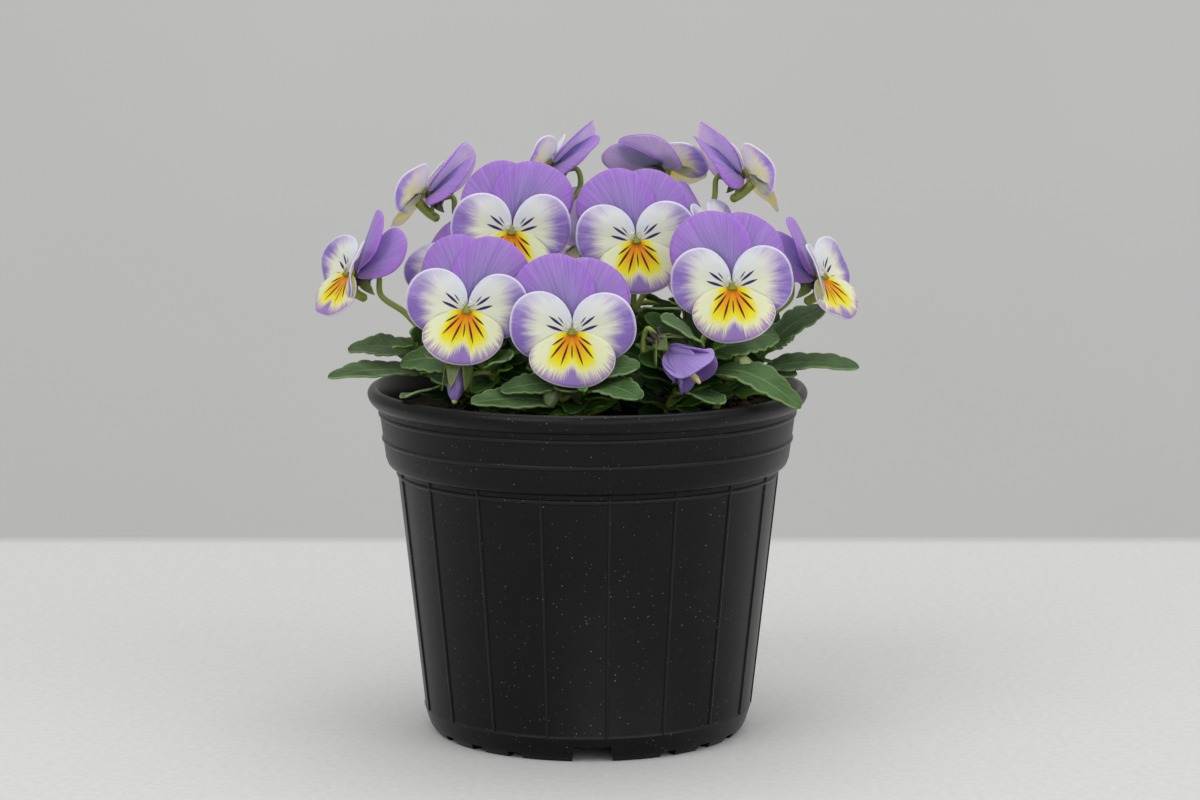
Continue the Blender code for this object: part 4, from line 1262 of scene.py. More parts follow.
@dataclass
class PetalMaker:
    """Shapes one bloom's petals: rounded, softly ruffled, a little channelled down the middle."""

    bloom: Bloom
    draw: random.Random
    grid: tuple[int, int] = (34, 14)
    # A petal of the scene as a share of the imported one, which it has to stay inside
    fill: float = 0.985
    ruffle: float = 0.0007
    ruffle_waves: Pair = (5.2, 6.8)
    ripple: float = 0.00022
    ripple_waves: float = 11.0
    channel: float = 0.0005
    channel_width: float = 0.0022
    channel_shift: float = 0.7
    uneven: float = 0.018
    uneven_waves: float = 4.0
    notch: float = 0.02
    notch_width: float = 0.16
    recurved: float = 0.0006

    def add(self, work: Workpiece, petal: Petal, front: Finish, back: Finish) -> None:
        """Adds one petal to a workpiece.

        Args:
            work: the workpiece.
            petal: the petal's size and place on the bloom's axes.
            front: the finish of the side that faces out of the bloom.
            back: the finish of its other side.
        """
        size, place = self.bloom.size, self.bloom.frame()
        length, width = petal.length * size * self.fill, petal.width * size * self.fill
        lean, turn, twist = (radians(value) for value in (petal.lean, petal.turn, petal.twist))
        squash = (length / width) ** 2
        phases = [self.draw.uniform(0, tau) for _ in range(4)]
        variety = self.draw.random()
        waves = self.draw.uniform(*self.ruffle_waves)

        def flat(across: float, share: float) -> Pair:
            """Sideways and forward on the flat petal."""
            angle = -radians(across * SPREAD)
            reach = length * cos(angle) / (cos(angle) ** 2 + squash * sin(angle) ** 2)
            waver = self.uneven * sin(self.uneven_waves * across + phases[0]) * share
            reach *= share * (1 + waver - self.notch * exp(-((across / self.notch_width) ** 2)))
            return reach * sin(angle), reach * cos(angle)

        def surface(across: float, share: float) -> Vector:
            """The petal's front."""
            side, forward = flat(across, share)
            dip = exp(-((side / self.channel_width) ** 2))
            dip *= sin(pi * share**self.channel_shift)
            rise = petal.curl * (2 * side / width) ** 2
            rise += self.ruffle * size * share**3 * sin(waves * across + phases[1])
            rise += self.ripple * size * share**4 * sin(self.ripple_waves * across + phases[2])
            rise -= self.channel * dip + self.recurved * share**6
            side, rise = (
                side * cos(twist) - rise * sin(twist),
                side * sin(twist) + rise * cos(twist),
            )
            out = forward * cos(lean) - rise * sin(lean)
            height = forward * sin(lean) + rise * cos(lean) + petal.level
            x = out * cos(turn) - side * sin(turn)
            y = out * sin(turn) + side * cos(turn)
            return place @ Vector((x, y, height))

        faces = work.skin(self.grid, surface, front, variety, flat, petal.on_the_left)
        work.blade(faces, SKIN, back, variety)


@dataclass
class BloomMaker:
    """Builds one open bloom as two pieces: its upper petals, and its face with spur, style and hairs."""

    bloom: Bloom
    seed: int
    limits: Box
    hub_radius: float = 0.0014
    upper_hub: Pair = (-0.0032, -0.0018)
    face_hub: Pair = (-0.0014, -0.0007)
    spur_radius: float = 0.0014
    spur_end: float = 0.92
    spur_bend: float = 0.55
    spur_sag: float = 0.0004
    style_tip: float = 0.0001
    style_swell: float = 0.0014
    # The hairs of a side petal stand on an arc in radians, and their lengths are shares
    hairs: int = 34
    hair_length: float = 0.0012
    hair_radius: float = 0.00012
    hair_arc: Pair = (-0.1, 1.1)
    hair_feet: Pair = (0.0013, 0.0026)
    hair_level: Pair = (0.0001, 0.00012)
    hair_rise: Pair = (0.35, 0.9)
    hair_lengths: Pair = (0.6, 1.1)

    def build(self) -> None:
        """Builds both pieces."""
        draw = random.Random(self.seed)
        name = self.bloom.name
        petals = PetalMaker(self.bloom, draw)
        upper = Workpiece(name + "_upper", "violet_petal", [name + "_upper_petals"])
        upper_petals, (*side_petals, lower_petal) = FORMS[self.bloom.form]
        for petal in upper_petals:
            petals.add(upper, petal, UPPER_FRONT, UPPER_BACK)
        self.hub(upper, self.upper_hub, AURICLE)
        upper.done(self.limits)
        face = Workpiece(name + "_face", "cream_petal", [name + "_face_petals"])
        for petal in side_petals:
            petals.add(face, petal, SIDE_FRONT, SIDE_BACK)
        petals.add(face, lower_petal, LOWER_FRONT, LOWER_BACK)
        self.hub(face, self.face_hub, SPUR)
        self.spur(face)
        self.style(face)
        for petal in side_petals:
            self.beard(face, petal, draw)
        face.done(self.limits)

    def hub(self, work: Workpiece, span: Pair, finish: Finish) -> None:
        """Adds the short core that the petals stand on, between two levels."""
        work.tube(self.bloom.axis(span), lambda share: self.hub_radius, finish, (16, 2))

    def spur(self, work: Workpiece) -> None:
        """Adds the lower petal's spur, which runs back past the calyx, to the face."""

        def radius(share: float) -> float:
            """The spur's radius, slightly tapered, with a blunt round end."""
            return self.spur_radius * (1 - 0.15 * share) * min(1, (1.02 - share) * 9) ** 0.5

        start, end = SPUR_ROUTE
        end = start.lerp(end, self.spur_end)
        middle = start.lerp(end, self.spur_bend) - Vector((0, self.spur_sag, 0))
        work.tube([self.bloom.frame() @ point for point in (start, middle, end)], radius, SPUR, (12, 6))

    def style(self, work: Workpiece) -> None:
        """Adds the style's blunt olive head, narrow above and broad below, to the face."""

        def radius(share: float) -> float:
            """The head's radius, wider all the way down but for its last edge."""
            return self.style_tip + self.style_swell * share * (1 - 0.35 * (share > 0.95))

        work.tube([self.bloom.frame() @ point for point in STYLE_ROUTE], radius, STYLE, (14, 5))

    def beard(self, work: Workpiece, petal: Petal, draw: random.Random) -> None:
        """Adds the tuft of white hairs at a side petal's foot.

        Args:
            work: the face's workpiece.
            petal: the side petal.
            draw: the bloom's draws.
        """
        side = 1 if petal.on_the_left else -1
        place, (base, more) = self.bloom.frame(), self.hair_level
        for _ in range(self.hairs):
            angle = radians(petal.turn) - side * draw.uniform(*self.hair_arc)
            radius = draw.uniform(*self.hair_feet)
            foot = Vector((radius * cos(angle), radius * sin(angle), base + more * draw.random()))
            rise = draw.uniform(*self.hair_rise)
            inward = Vector((-cos(angle) * 0.6, -0.3 - sin(angle) * 0.3, rise)).normalized()
            tip = foot + inward * self.hair_length * draw.uniform(*self.hair_lengths)
            work.spike(place @ foot, place @ tip, self.hair_radius, HAIR)


@dataclass
class BudMaker:
    """Builds the two violet buds: one half open with its pale pistil, and one still furled."""

    limits: Box
    # The furled bud, with its twisted folds
    length: float = 0.0090
    radius: float = 0.0024
    foot: float = -0.0030
    folds: tuple[int, float, float] = (3, 0.10, 0.22)
    # The pale tip that shows at its end
    tip_levels: tuple[float, ...] = (-0.0004, 0.0002, 0.0008)
    tip_radius: float = 0.0008
    pistil_radius: float = 0.0009
    hub_span: Pair = (-0.0031, -0.0014)
    hub_radius: float = 0.0017

    def build(self, bud: Bloom, seed: int) -> None:
        """Builds one bud as one piece, half open or furled.

        Args:
            bud: the bud's place.
            seed: the seed of its random draws.
        """
        work = Workpiece(bud.name + "_petals", "violet_petal", [bud.name])
        if bud.name == "opening_bud":
            self.half_open(work, bud, random.Random(seed))
        else:
            self.furled(work, bud)
        work.tube(bud.axis(self.hub_span), lambda share: self.hub_radius, SEPAL, (14, 2))
        work.done(self.limits)

    def half_open(self, work: Workpiece, bud: Bloom, draw: random.Random) -> None:
        """Adds the five cupped petals of the opening bud and its pistil.

        Args:
            work: the bud's workpiece.
            bud: the bud's place.
            draw: the bud's draws.
        """
        petals = PetalMaker(bud, draw, ruffle=0.0011, ripple=0.0004)
        for petal in HALF_OPEN_PETALS + INNER_PETALS:
            petals.add(work, petal, BUD_INSIDE, BUD_OUTSIDE)
        route = [bud.frame() @ point for point in PISTIL]
        work.tube(route, lambda share: self.pistil_radius * (1 - 0.6 * (share > 0.93)), PISTIL_PALE, (10, 8))

    def furled(self, work: Workpiece, bud: Bloom) -> None:
        """Adds the petals of the closed bud, rolled round each other, and the tip that shows at their end.

        Args:
            work: the bud's workpiece.
            bud: the bud's place.
        """

        def roll(share: float) -> float:
            """The bud's radius from its foot to its tip."""
            return self.radius * max(0.12, sin(pi * (0.22 + 0.74 * share)) ** 0.6)

        def ball(share: float) -> float:
            """The small round tip's radius."""
            return self.tip_radius * sin(pi * (0.3 + 0.6 * share))

        levels = [self.foot + self.length * share for share in (0.02, 0.35, 0.7, 1.0)]
        work.tube(bud.axis(levels), roll, BUD_OUTSIDE, (24, 6), self.folds)
        levels = [self.length + self.foot + level for level in self.tip_levels]
        work.tube(bud.axis(levels), ball, PISTIL_PALE, (12, 4))


@dataclass(frozen=True)
class LeafPlan:
    """One leaf as part.py lays it: where it starts and ends, its width, arch and pairs of teeth."""

    base: Vector
    tip: Vector
    width: float
    arch: float
    teeth: int
    stalk_share: float = 0.24
    stalk_half: float = 0.0006
    tilt: float = radians(42)
    # How much a leaf turns its face to the front, where the light comes from
    to_light: float = 0.6
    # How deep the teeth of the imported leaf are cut
    toothed: float = 0.22

    def axes(self) -> tuple[Vector, Vector, Vector]:
        """The leaf's own directions.

        Returns:
            The leaf's span, its sideways direction and its upward one.
        """
        span = self.tip - self.base
        level = span.cross(UP).normalized()
        up = level.cross(span).normalized()
        outward = Vector((self.base.x + self.tip.x, self.base.y + self.tip.y, 0)).normalized()
        light = (outward - Vector((0.0, self.to_light, 0.0))).normalized()
        tilt = -self.tilt * level.dot(light)
        side = level * cos(tilt) + up * sin(tilt)
        return span, side, side.cross(span).normalized()

    def corners(self) -> list[Vector]:
        """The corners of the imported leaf.

        Returns:
            The tip, then both edges row by row from the stalk.
        """
        span, side, up = self.axes()
        found = [self.tip]
        steps = 2 * self.teeth
        for row in range(1, steps):
            s = row / steps
            place = self.stalk_share + (1 - self.stalk_share) * s
            wave = 0.5 + 0.5 * cos(tau * s * self.teeth)
            half = self.width / 2 * sin(pi * s**0.8) ** 0.7 * (1 - self.toothed * wave)
            centre = self.base + span * place + up * self.arch * sin(pi * place)
            found += [centre + side * half, centre - side * half]
        return found


@dataclass
class LeafMaker:
    """Shapes the leaves: round-toothed blades on short channelled stalks, with a sunk midrib."""

    work: Workpiece
    draw: random.Random
    lobe: float = 0.17
    fold: float = 0.10
    wave: float = 0.0004
    waves: float = 14.0
    rib: float = 0.00022
    rib_width: float = 0.0005
    # How far the two edges' teeth are out of step
    stagger: Pair = (-0.05, 0.05)
    thickness: float = 0.00055

    def add(self, plan: LeafPlan, finish: Finish, across_faces: int = 10, rows_per_tooth: int = 14) -> None:
        """Adds one finer leaf.

        Args:
            plan: the leaf's place and size.
            finish: its upper finish.
            across_faces: how many faces its blade has across.
            rows_per_tooth: how many rows of them each pair of teeth has.
        """
        span, side, up = plan.axes()
        lobes = 2 * plan.teeth
        phase, variety = self.draw.uniform(0, tau), self.draw.random()
        lean = self.draw.uniform(*self.stagger)

        def half_width(place: float, across: float) -> float:
            """Half the leaf's width on one side, with its round teeth."""
            if place <= plan.stalk_share:
                return plan.stalk_half
            s = (place - plan.stalk_share) / (1 - plan.stalk_share)
            shift = s + lean * sin(pi * s) * (1 if across > 0 else -1)
            lobe = abs(sin(pi * shift * lobes)) ** 0.6
            outline = sin(pi * min(1, s**0.8)) ** (0.7 - 0.28 * s)
            broad = plan.width / 2 * outline * (1 - self.lobe + self.lobe * lobe)
            return max(broad, plan.stalk_half * (1 - s) ** 0.5)

        def surface(across: float, share: float) -> Vector:
            """The leaf's upper side."""
            half = half_width(share, across)
            broad = half / (plan.width / 2)
            centre = plan.base + span * share + up * plan.arch * sin(pi * share)
            rise = self.fold * half * abs(across) ** 1.5
            rise += self.wave * broad * abs(across) * sin(self.waves * share + phase + across)
            rise -= self.rib * broad * exp(-((across * half / self.rib_width) ** 2))
            return centre + side * across * half + up * rise

        rows = rows_per_tooth * plan.teeth + 6
        faces = self.work.skin((across_faces, rows), surface, finish, variety)
        self.work.blade(faces, self.thickness, LEAF_UNDER, variety)


class Room:
    """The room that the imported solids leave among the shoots, for leaves that only the scene has."""

    clearance: float = 0.0009
    between: float = 0.0013
    ceiling: float = 0.1180
    reach: float = 0.0580
    in_pot: float = 0.0530
    lip: float = 0.0975
    middle_spots: tuple[float, ...] = (0.45, 0.6, 0.8)

    def __init__(self) -> None:
        """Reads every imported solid's surface from the frame."""
        self.trees = [NodeShape(item.name).tree for item in bpy.data.objects if item.type == "MESH"]
        self.taken: list[Vector] = []

    def take(self, plan: LeafPlan) -> bool:
        """Takes the leaf's room if it is free.

        Args:
            plan: the leaf.

        Returns:
            Whether the room was free.
        """
        span, _, up = plan.axes()
        spots = plan.corners() + [plan.base + span * share + up * plan.arch for share in self.middle_spots]
        free = (
            all(self.inside(spot) for spot in spots)
            and all((spot - other).length > self.between for spot in spots for other in self.taken)
            and all(
                tree.find_nearest(spot, self.clearance)[0] is None for tree in self.trees for spot in spots
            )
        )
        if free:
            self.taken += spots
        return free

    def inside(self, spot: Vector) -> bool:
        """Whether a spot is within the foliage, and clear of the pot's lip."""
        out = hypot(spot.x, spot.y)
        return spot.z < self.ceiling and out < (self.reach if spot.z > self.lip else self.in_pot)


@dataclass
class ShootMaker:
    """Builds one leafy shoot as one piece: stem, flower stalks with their calyxes, buds and leaves."""

    shoot: Shoot
    limits: Box
    room: Room
    # The stem: how deep it stands, where it bends, and its ridges
    hole_depth: float = 0.0117
    stem_shares: tuple[float, ...] = (0.12, 0.45, 0.75, 1.0)
    stem_curve: float = 1.6
    stem_radius: float = 0.00125
    stem_ridges: tuple[int, float, float] = (4, 0.07, 0.1)
    # The flower stalk: the bends that part.py tried, and its hook: back from the flower, behind it and
    # up, then behind and below
    bends: tuple[float, ...] = (0.0, 0.004, -0.004, 0.008, -0.008, 0.012, -0.012)
    stalk_rise: float = 0.45
    stalk_shares: Pair = (0.35, 0.70)
    stalk_radius: float = 0.00076
    stalk_ridges: tuple[int, float, float] = (4, 0.06, 0.2)
    hook: Triple = (0.0016, 0.0022, 0.0012)
    hook_foot: Pair = (0.0044, 0.0050)
    green_bud: Pair = (-0.0072, 0.0010)
    green_radius: float = 0.0022
    green_folds: tuple[int, float, float] = (5, 0.10, 0.0)
    calyx_radius: float = 0.0016
    calyx_span: Pair = (-0.0066, -0.0034)
    calyx_more: float = 0.0002
    sepal_length: float = 0.0072
    sepal_lean: float = radians(-30)
    sepal_skin: float = 0.0004
    sepal_arch: float = 0.0003
    bud_sepal: Pair = (0.0024, 0.0009)
    open_sepal: Pair = (0.0017, 0.0013)
    # Radius and level of an ear's foot and tip, from the sepal's foot
    ear: tuple[Pair, Pair] = ((0.0011, -0.0002), (0.0024, -0.0028))
    # The lifts of a large leaf and the turns of a small one that part.py tried, in metres and degrees
    lifts: tuple[float, ...] = (0.0, 0.0015, -0.0015, 0.003, -0.003, 0.005)
    turns: tuple[int, ...] = (0, 16, -16, 32, -32, 48, -48, 70, -70, 100, -100, 140, -140, 180)
    # Small leaves: widths and arches are shares of the length, and rises and turns are in degrees
    first_leaf: float = 0.18
    golden_turn: float = 137.5
    leaf_lengths: Pair = (0.0180, 0.0260)
    leaf_rise: Pair = (-2, 28)
    rise_above: float = 26.0
    leaf_width: float = 0.46
    leaf_arch: float = 0.10
    # Small leaves nearer the middle than this take the painted-shade finish
    shaded_within: float = 0.040
    # Lesser leaves, in the same units, for the young ones and then the older ones
    filler_tries: int = 800
    most_fillers: int = 34
    young_share: float = 0.45
    filler_lengths: tuple[Pair, Pair] = ((0.009, 0.017), (0.011, 0.022))
    filler_rises: tuple[Pair, Pair] = ((5, 70), (2, 50))
    filler_widths: tuple[Pair, Pair] = ((0.18, 0.26), (0.36, 0.48))
    filler_from: float = 0.05

    def __post_init__(self) -> None:
        """Starts the shoot's workpiece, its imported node's shape and its own random draws."""
        node = "shoot_" + self.shoot.name
        self.work = Workpiece(node + "_leaves_and_stalks", "viola_green", [node])
        self.shape = NodeShape(node)
        self.looks = random.Random(self.shoot.name)

    def point(self, share: float) -> Vector:
        """A point on the stem: straight up out of the soil, then leaning outwards.

        Args:
            share: how far up the stem, from 0 to 1.

        Returns:
            The point.
        """
        lean = radians(self.shoot.lean)
        out = self.shoot.reach * share**self.stem_curve
        x, y = self.shoot.root
        level = SOIL_LEVEL + self.shoot.rise * share
        return Vector((x + out * cos(lean), y + out * sin(lean), level))

    def build(self, draws: random.Random) -> None:
        """Builds the shoot.

        Args:
            draws: part.py's random draws, in the same order, so that the leaves come out the same.
        """
        foot = Vector((*self.shoot.root, SOIL_LEVEL - self.hole_depth))
        route = [foot] + [self.point(share) for share in self.stem_shares]
        self.work.tube(route, self.stem_girth, STALK, (12, 5), self.stem_ridges)
        for bloom in BLOOMS + BUDS + GREEN_BUDS:
            if bloom.shoot == self.shoot.name:
                self.stalk(bloom)
                self.head(bloom)
        leaves = LeafMaker(self.work, self.looks)
        for plan in self.big_leaves():
            leaves.add(plan, LEAF_TOP)
        for plan in self.small_leaves(draws):
            # Small leaves near the middle take the painted-shade finish
            inner = hypot(plan.tip.x, plan.tip.y) < self.shaded_within
            leaves.add(plan, LEAF_PAINTED_SHADE if inner else LEAF_TOP)
        for plan, finish in self.fillers():
            leaves.add(plan, finish, across_faces=6, rows_per_tooth=8)
        self.work.done(self.limits)

    def stalk(self, bloom: Bloom) -> None:
        """Adds the flower stalk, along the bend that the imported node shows.

        Args:
            bloom: the flower at its end.
        """
        place = bloom.frame()
        azimuth = radians(bloom.azimuth)
        join = place @ STALK_JOIN
        back = -(place.to_3x3() @ UP)
        behind = Vector((-sin(azimuth), cos(azimuth), 0))
        hook = join + back * self.hook[0] + behind * self.hook[1] + UP * self.hook[2]
        below = join + behind * self.hook_foot[0] - UP * self.hook_foot[1]
        start = self.point(bloom.start)
        rise = UP * (below - start).length * self.stalk_rise
        aside = (below - start).cross(UP).normalized()
        best: tuple[float, list[Vector]] | None = None
        for bend in self.bends:
            curve = [start]
            for share in self.stalk_shares:
                lifted = start * (1 - share) ** 2 + (start + rise + aside * bend) * 2 * share * (1 - share)
                curve.append(lifted + below * share**2)
            gap = self.shape.gap(curve[1:])
            if best is None or gap < best[0] - MERGE:
                best = (gap, [*curve, below, hook, join])
        self.work.tube(best[1], self.stalk_girth, STALK, (10, 6), self.stalk_ridges)

    def stem_girth(self, share: float) -> float:
        """The stem's radius, thinner towards its top."""
        return self.stem_radius * (1 - 0.2 * share)

    def stalk_girth(self, share: float) -> float:
        """A flower stalk's radius, a little thicker at its foot than at the flower."""
        return self.stalk_radius * (1.08 - 0.12 * share)

    def head(self, bloom: Bloom) -> None:
        """Adds what the stalk carries: an open calyx, a bud's calyx or a closed green bud.

        Args:
            bloom: the flower.
        """
        if bloom in GREEN_BUDS:
            back, front = self.green_bud
            levels = [back + (front - back) * share for share in (0.0, 0.4, 0.75, 1.0)]
            self.work.tube(bloom.axis(levels), self.oval, PALE_BUD, (20, 5), self.green_folds)
            return
        back, front = self.calyx_span
        levels = [back - self.calyx_more + (front - back) * share for share in (0.0, 0.5, 1.0)]
        self.work.tube(bloom.axis(levels), self.calyx_girth, AURICLE, (14, 4))
        reach = self.sepal_length * cos(self.sepal_lean)
        drop = self.sepal_length * sin(self.sepal_lean)
        bend = [(0.0009, front - 0.0002), (reach * 0.5, front + drop * 0.32), (reach, front + drop)]
        sizes = self.open_sepal
        if bloom.name in SEPAL_TIPS:
            bend = [(0.0012, -0.0050), (0.0030, -0.0030), SEPAL_TIPS[bloom.name]]
            sizes = self.bud_sepal
        for degrees in SEPAL_TURNS:
            self.sepal(bloom.frame(), radians(degrees), bend, sizes)

    def oval(self, share: float) -> float:
        """The radius of the closed green bud, a pointed oval, from its foot to its tip."""
        return self.green_radius * max(0.06, sin(pi * min(1, 0.12 + 0.86 * share)) ** 0.75)

    def calyx_girth(self, share: float) -> float:
        """The calyx's radius from its foot to the sepals."""
        return self.calyx_radius * (0.8 + 0.85 * sin(pi * share * 0.6))

    def sepal(self, place: Matrix, turn: float, bend: Sequence[Pair], sizes: Pair) -> None:
        """Adds one pointed sepal with the blunt ear behind it.

        Args:
            place: the bloom's axes.
            turn: which way it points round the bloom, in radians.
            bend: its foot, middle and tip as radius and level on the bloom's axis.
            sizes: half its greatest width, and its ear's radius.
        """
        half_width, ear_radius = sizes
        line = smooth_path([Vector((radius, 0, level)) for radius, level in bend], 8)
        last = len(line) - 1
        variety = self.looks.random()

        def surface(across: float, share: float) -> Vector:
            """The sepal's outer side."""
            middle = line[round(share * last)]
            side = across * half_width * sin(pi * (0.24 + 0.76 * share)) ** 0.9
            x = middle.x * cos(turn) - side * sin(turn)
            y = middle.x * sin(turn) + side * cos(turn)
            return place @ Vector((x, y, middle.z - self.sepal_arch * across**2))

        faces = self.work.skin((6, last), surface, SEPAL, variety)
        self.work.blade(faces, -self.sepal_skin, SEPAL, variety)
        foot, tip = (
            Vector((cos(turn) * radius, sin(turn) * radius, bend[0][1] + level))
            for radius, level in self.ear
        )
        ear = [place @ point for point in (foot, foot.lerp(tip, 0.5), tip)]
        self.work.tube(ear, lambda share: ear_radius * (1 - 0.3 * share), AURICLE, (8, 3))

    def big_leaves(self) -> list[LeafPlan]:
        """The large leaves of this shoot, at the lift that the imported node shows.

        Returns:
            The leaves.
        """
        plans = []
        for leaf in BIG_LEAVES:
            if leaf.shoot == self.shoot.name:
                base, tip = self.point(leaf.start), Vector(leaf.tip)
                tries = [LeafPlan(base, tip + UP * lift, leaf.width, leaf.arch, 3) for lift in self.lifts]
                plans += self.kept(tries)
        return plans

    def small_leaves(self, draws: random.Random) -> list[LeafPlan]:
        """The small leaves up the stem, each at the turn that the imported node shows.

        Args:
            draws: part.py's random draws.

        Returns:
            The leaves.
        """
        plans = []
        phase = draws.uniform(0, 360)
        for index in range(self.shoot.leaves):
            share = self.first_leaf + (1 - self.first_leaf) * index / (self.shoot.leaves - 1)
            length = draws.uniform(*self.leaf_lengths)
            rise = radians(draws.uniform(*self.leaf_rise) + self.rise_above * share)
            base = self.point(share)
            tries = []
            for turn in self.turns:
                tip = base + reaching(length, radians(phase + index * self.golden_turn + turn), rise)
                tries.append(LeafPlan(base, tip, length * self.leaf_width, length * self.leaf_arch, 2))
            plans += self.kept(tries)
        return plans

    def fillers(self) -> list[tuple[LeafPlan, Finish]]:
        """The lesser leaves that only the scene has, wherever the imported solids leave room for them.

        Returns:
            Each leaf with its upper finish.
        """
        draw = random.Random("lesser leaves of " + self.shoot.name)
        made: list[tuple[LeafPlan, Finish]] = []
        for _ in range(self.filler_tries):
            older = draw.random() >= self.young_share
            length = draw.uniform(*self.filler_lengths[older])
            share, angle = draw.uniform(self.filler_from, 1.0), draw.uniform(0, tau)
            rise = radians(draw.uniform(*self.filler_rises[older]))
            width = length * draw.uniform(*self.filler_widths[older])
            base = self.point(share)
            tip = base + reaching(length, angle, rise)
            plan = LeafPlan(base, tip, width, length * self.leaf_arch, 2 if older else 1)
            if len(made) < self.most_fillers and self.room.take(plan):
                # The older lesser leaves take the painted-shade finish, and the young ones their own bright
                # green
                made.append((plan, LEAF_PAINTED_SHADE if older else LEAF_YOUNG))
        return made

    def kept(self, tries: Sequence[LeafPlan]) -> list[LeafPlan]:
        """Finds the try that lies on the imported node.

        Args:
            tries: what part.py tried, in its order.

        Returns:
            That try alone, or nothing if none lies on the node.
        """
        gaps = [self.shape.gap(plan.corners()) for plan in tries]
        nearest = min(gaps)
        if nearest > NEAR:
            LOG.warning("a leaf of %s lies %.2f mm off its node", self.shoot.name, nearest / MM)
            return []
        return [tries[gaps.index(nearest)]]


@dataclass
class Pot:
    """The nursery pot: a turned wall with a rolled lip, two raised rings, ribs and a drained foot."""

    steps: int = 192
    height: float = 0.0950
    lip_radius: float = 0.0600
    # How far in from the lip's radius and how far down from its top
    lip_profile: tuple[Pair, ...] = (
        (0.0030, 0.0006),
        (0.0021, 0.0),
        (0.0008, 0.0003),
        (0.0, 0.0018),
        (0.0005, 0.0035),
        (0.0016, 0.0048),
    )
    wall: float = 0.0013
    # Outer radius and level at the top and foot of the collar, at its shoulder, and of the body
    collar: Line = ((0.0570, 0.0898), (0.0551, 0.0758))
    shoulder: Pair = (0.0542, 0.0738)
    body: Line = ((0.0521, 0.0730), (0.0449, 0.0072))
    # Levels of the raised rings, how far they stand out, and half their height as a multiple of it
    rings: tuple[float, ...] = (0.0877, 0.0808)
    body_ring: float = 0.0712
    ring_size: float = 0.0004
    ring_breadth: float = 1.7
    ring_steps: int = 8
    foot_curve: Pair = (0.0434, 0.0018)
    foot_rest: Pair = (0.0396, 0.0420)
    foot_slope: float = 0.0006
    # The floor's two levels and radius, and where the wall's inner side starts
    floor: Pair = (0.0048, 0.0062)
    floor_radius: float = 0.0412
    inner_foot: float = 0.0095
    # One drain hole is in the middle, and the others stand in a circle round it
    drain_radius: float = 0.0045
    drain_circle: float = 0.0270
    drain_count: int = 6
    rib_count: int = 18
    rib_turn: float = radians(6.6)
    rib_width: float = 0.0009
    rib_stand: float = 0.0004
    rib_sunk: float = 0.0008
    rib_round: float = 0.42
    # Width and height of the notches, and where they stand in each quarter in degrees
    wide_notch: Pair = (0.0118, 0.0044)
    narrow_notch: Pair = (0.0050, 0.0017)
    first_notch: float = 1.9
    narrow_turns: tuple[float, ...] = (28.5, 45.0, 61.5)
    notch_depth: float = 0.0100
    notch_top: float = 0.84
    sharp_from: float = radians(38)

    def rounded(self, points: Sequence[Pair], steps: int) -> list[Pair]:
        """A smooth profile through (radius, z) points, kept inside the lip's radius and height."""
        path = smooth_path([Vector((radius, 0, z)) for radius, z in points], steps)
        return [(min(p.x, self.lip_radius), min(max(p.z, 0.0), self.height)) for p in path]

    def ring(self, line: Line, z: float) -> list[Pair]:
        """A thin round ring on a straight wall.

        Args:
            line: the wall.
            z: the ring's middle level.

        Returns:
            Radius and level of its points, from its top to its bottom.
        """
        turns = [pi * step / self.ring_steps for step in range(self.ring_steps + 1)]
        levels = [z + self.ring_breadth * self.ring_size * cos(t) for t in turns]
        outs = [self.ring_size * sin(t) ** 2 for t in turns]
        return [(along(line, level) + out, level) for out, level in zip(outs, levels)]

    def outline(self) -> list[Pair]:
        """The wall's closed outline.

        Returns:
            Radius and level of its points: down its outer side, under the floor and up its inner side.
        """
        lip = [(self.lip_radius - inwards, self.height - down) for inwards, down in self.lip_profile]
        lip = self.rounded(lip, 5)
        shoulder = self.rounded([self.collar[1], self.shoulder, self.body[0]], 4)
        rings = [point for z in self.rings for point in self.ring(self.collar, z)]
        foot = self.rounded([self.foot_start(), self.foot_curve, (self.foot_rest[1], 0.0)], 5)
        under, top = self.floor
        floor = [
            (self.foot_rest[0], 0.0),
            (self.foot_rest[0] - self.foot_slope, under),
            (self.drain_radius, under),
            (self.drain_radius, top),
            (self.floor_radius, top),
            (along(self.body, self.inner_foot) - self.wall, self.inner_foot),
        ]
        inner = [
            (self.body[0][0] - self.wall, self.body[0][1] + self.wall),
            (self.collar[1][0] - self.wall, self.collar[1][1] + self.wall),
            (self.collar[0][0] - self.wall, self.collar[0][1]),
        ]
        body_ring = self.ring(self.body, self.body_ring)
        return lip + [self.collar[0], *rings] + shoulder + body_ring + [self.body[1]] + foot + floor + inner

    def foot_start(self) -> Pair:
        """The small step where the ribs end."""
        radius, z = self.body[1]
        return (radius + self.ring_size / 2, z - self.ring_size)

    def shell(self) -> BMesh:
        """Turns the outline into a closed shell.

        Returns:
            The shell.
        """
        bm = bmesh.new()
        verts = [bm.verts.new((radius, 0.0, z)) for radius, z in self.outline()]
        edges = [bm.edges.new(pair) for pair in zip(verts, verts[1:] + verts[:1])]
        bmesh.ops.spin(
            bm, geom=verts + edges, cent=(0, 0, 0), axis=UP, angle=tau, steps=self.steps, use_merge=True
        )
        bmesh.ops.remove_doubles(bm, verts=bm.verts, dist=MERGE)
        bmesh.ops.recalc_face_normals(bm, faces=bm.faces)
        return bm

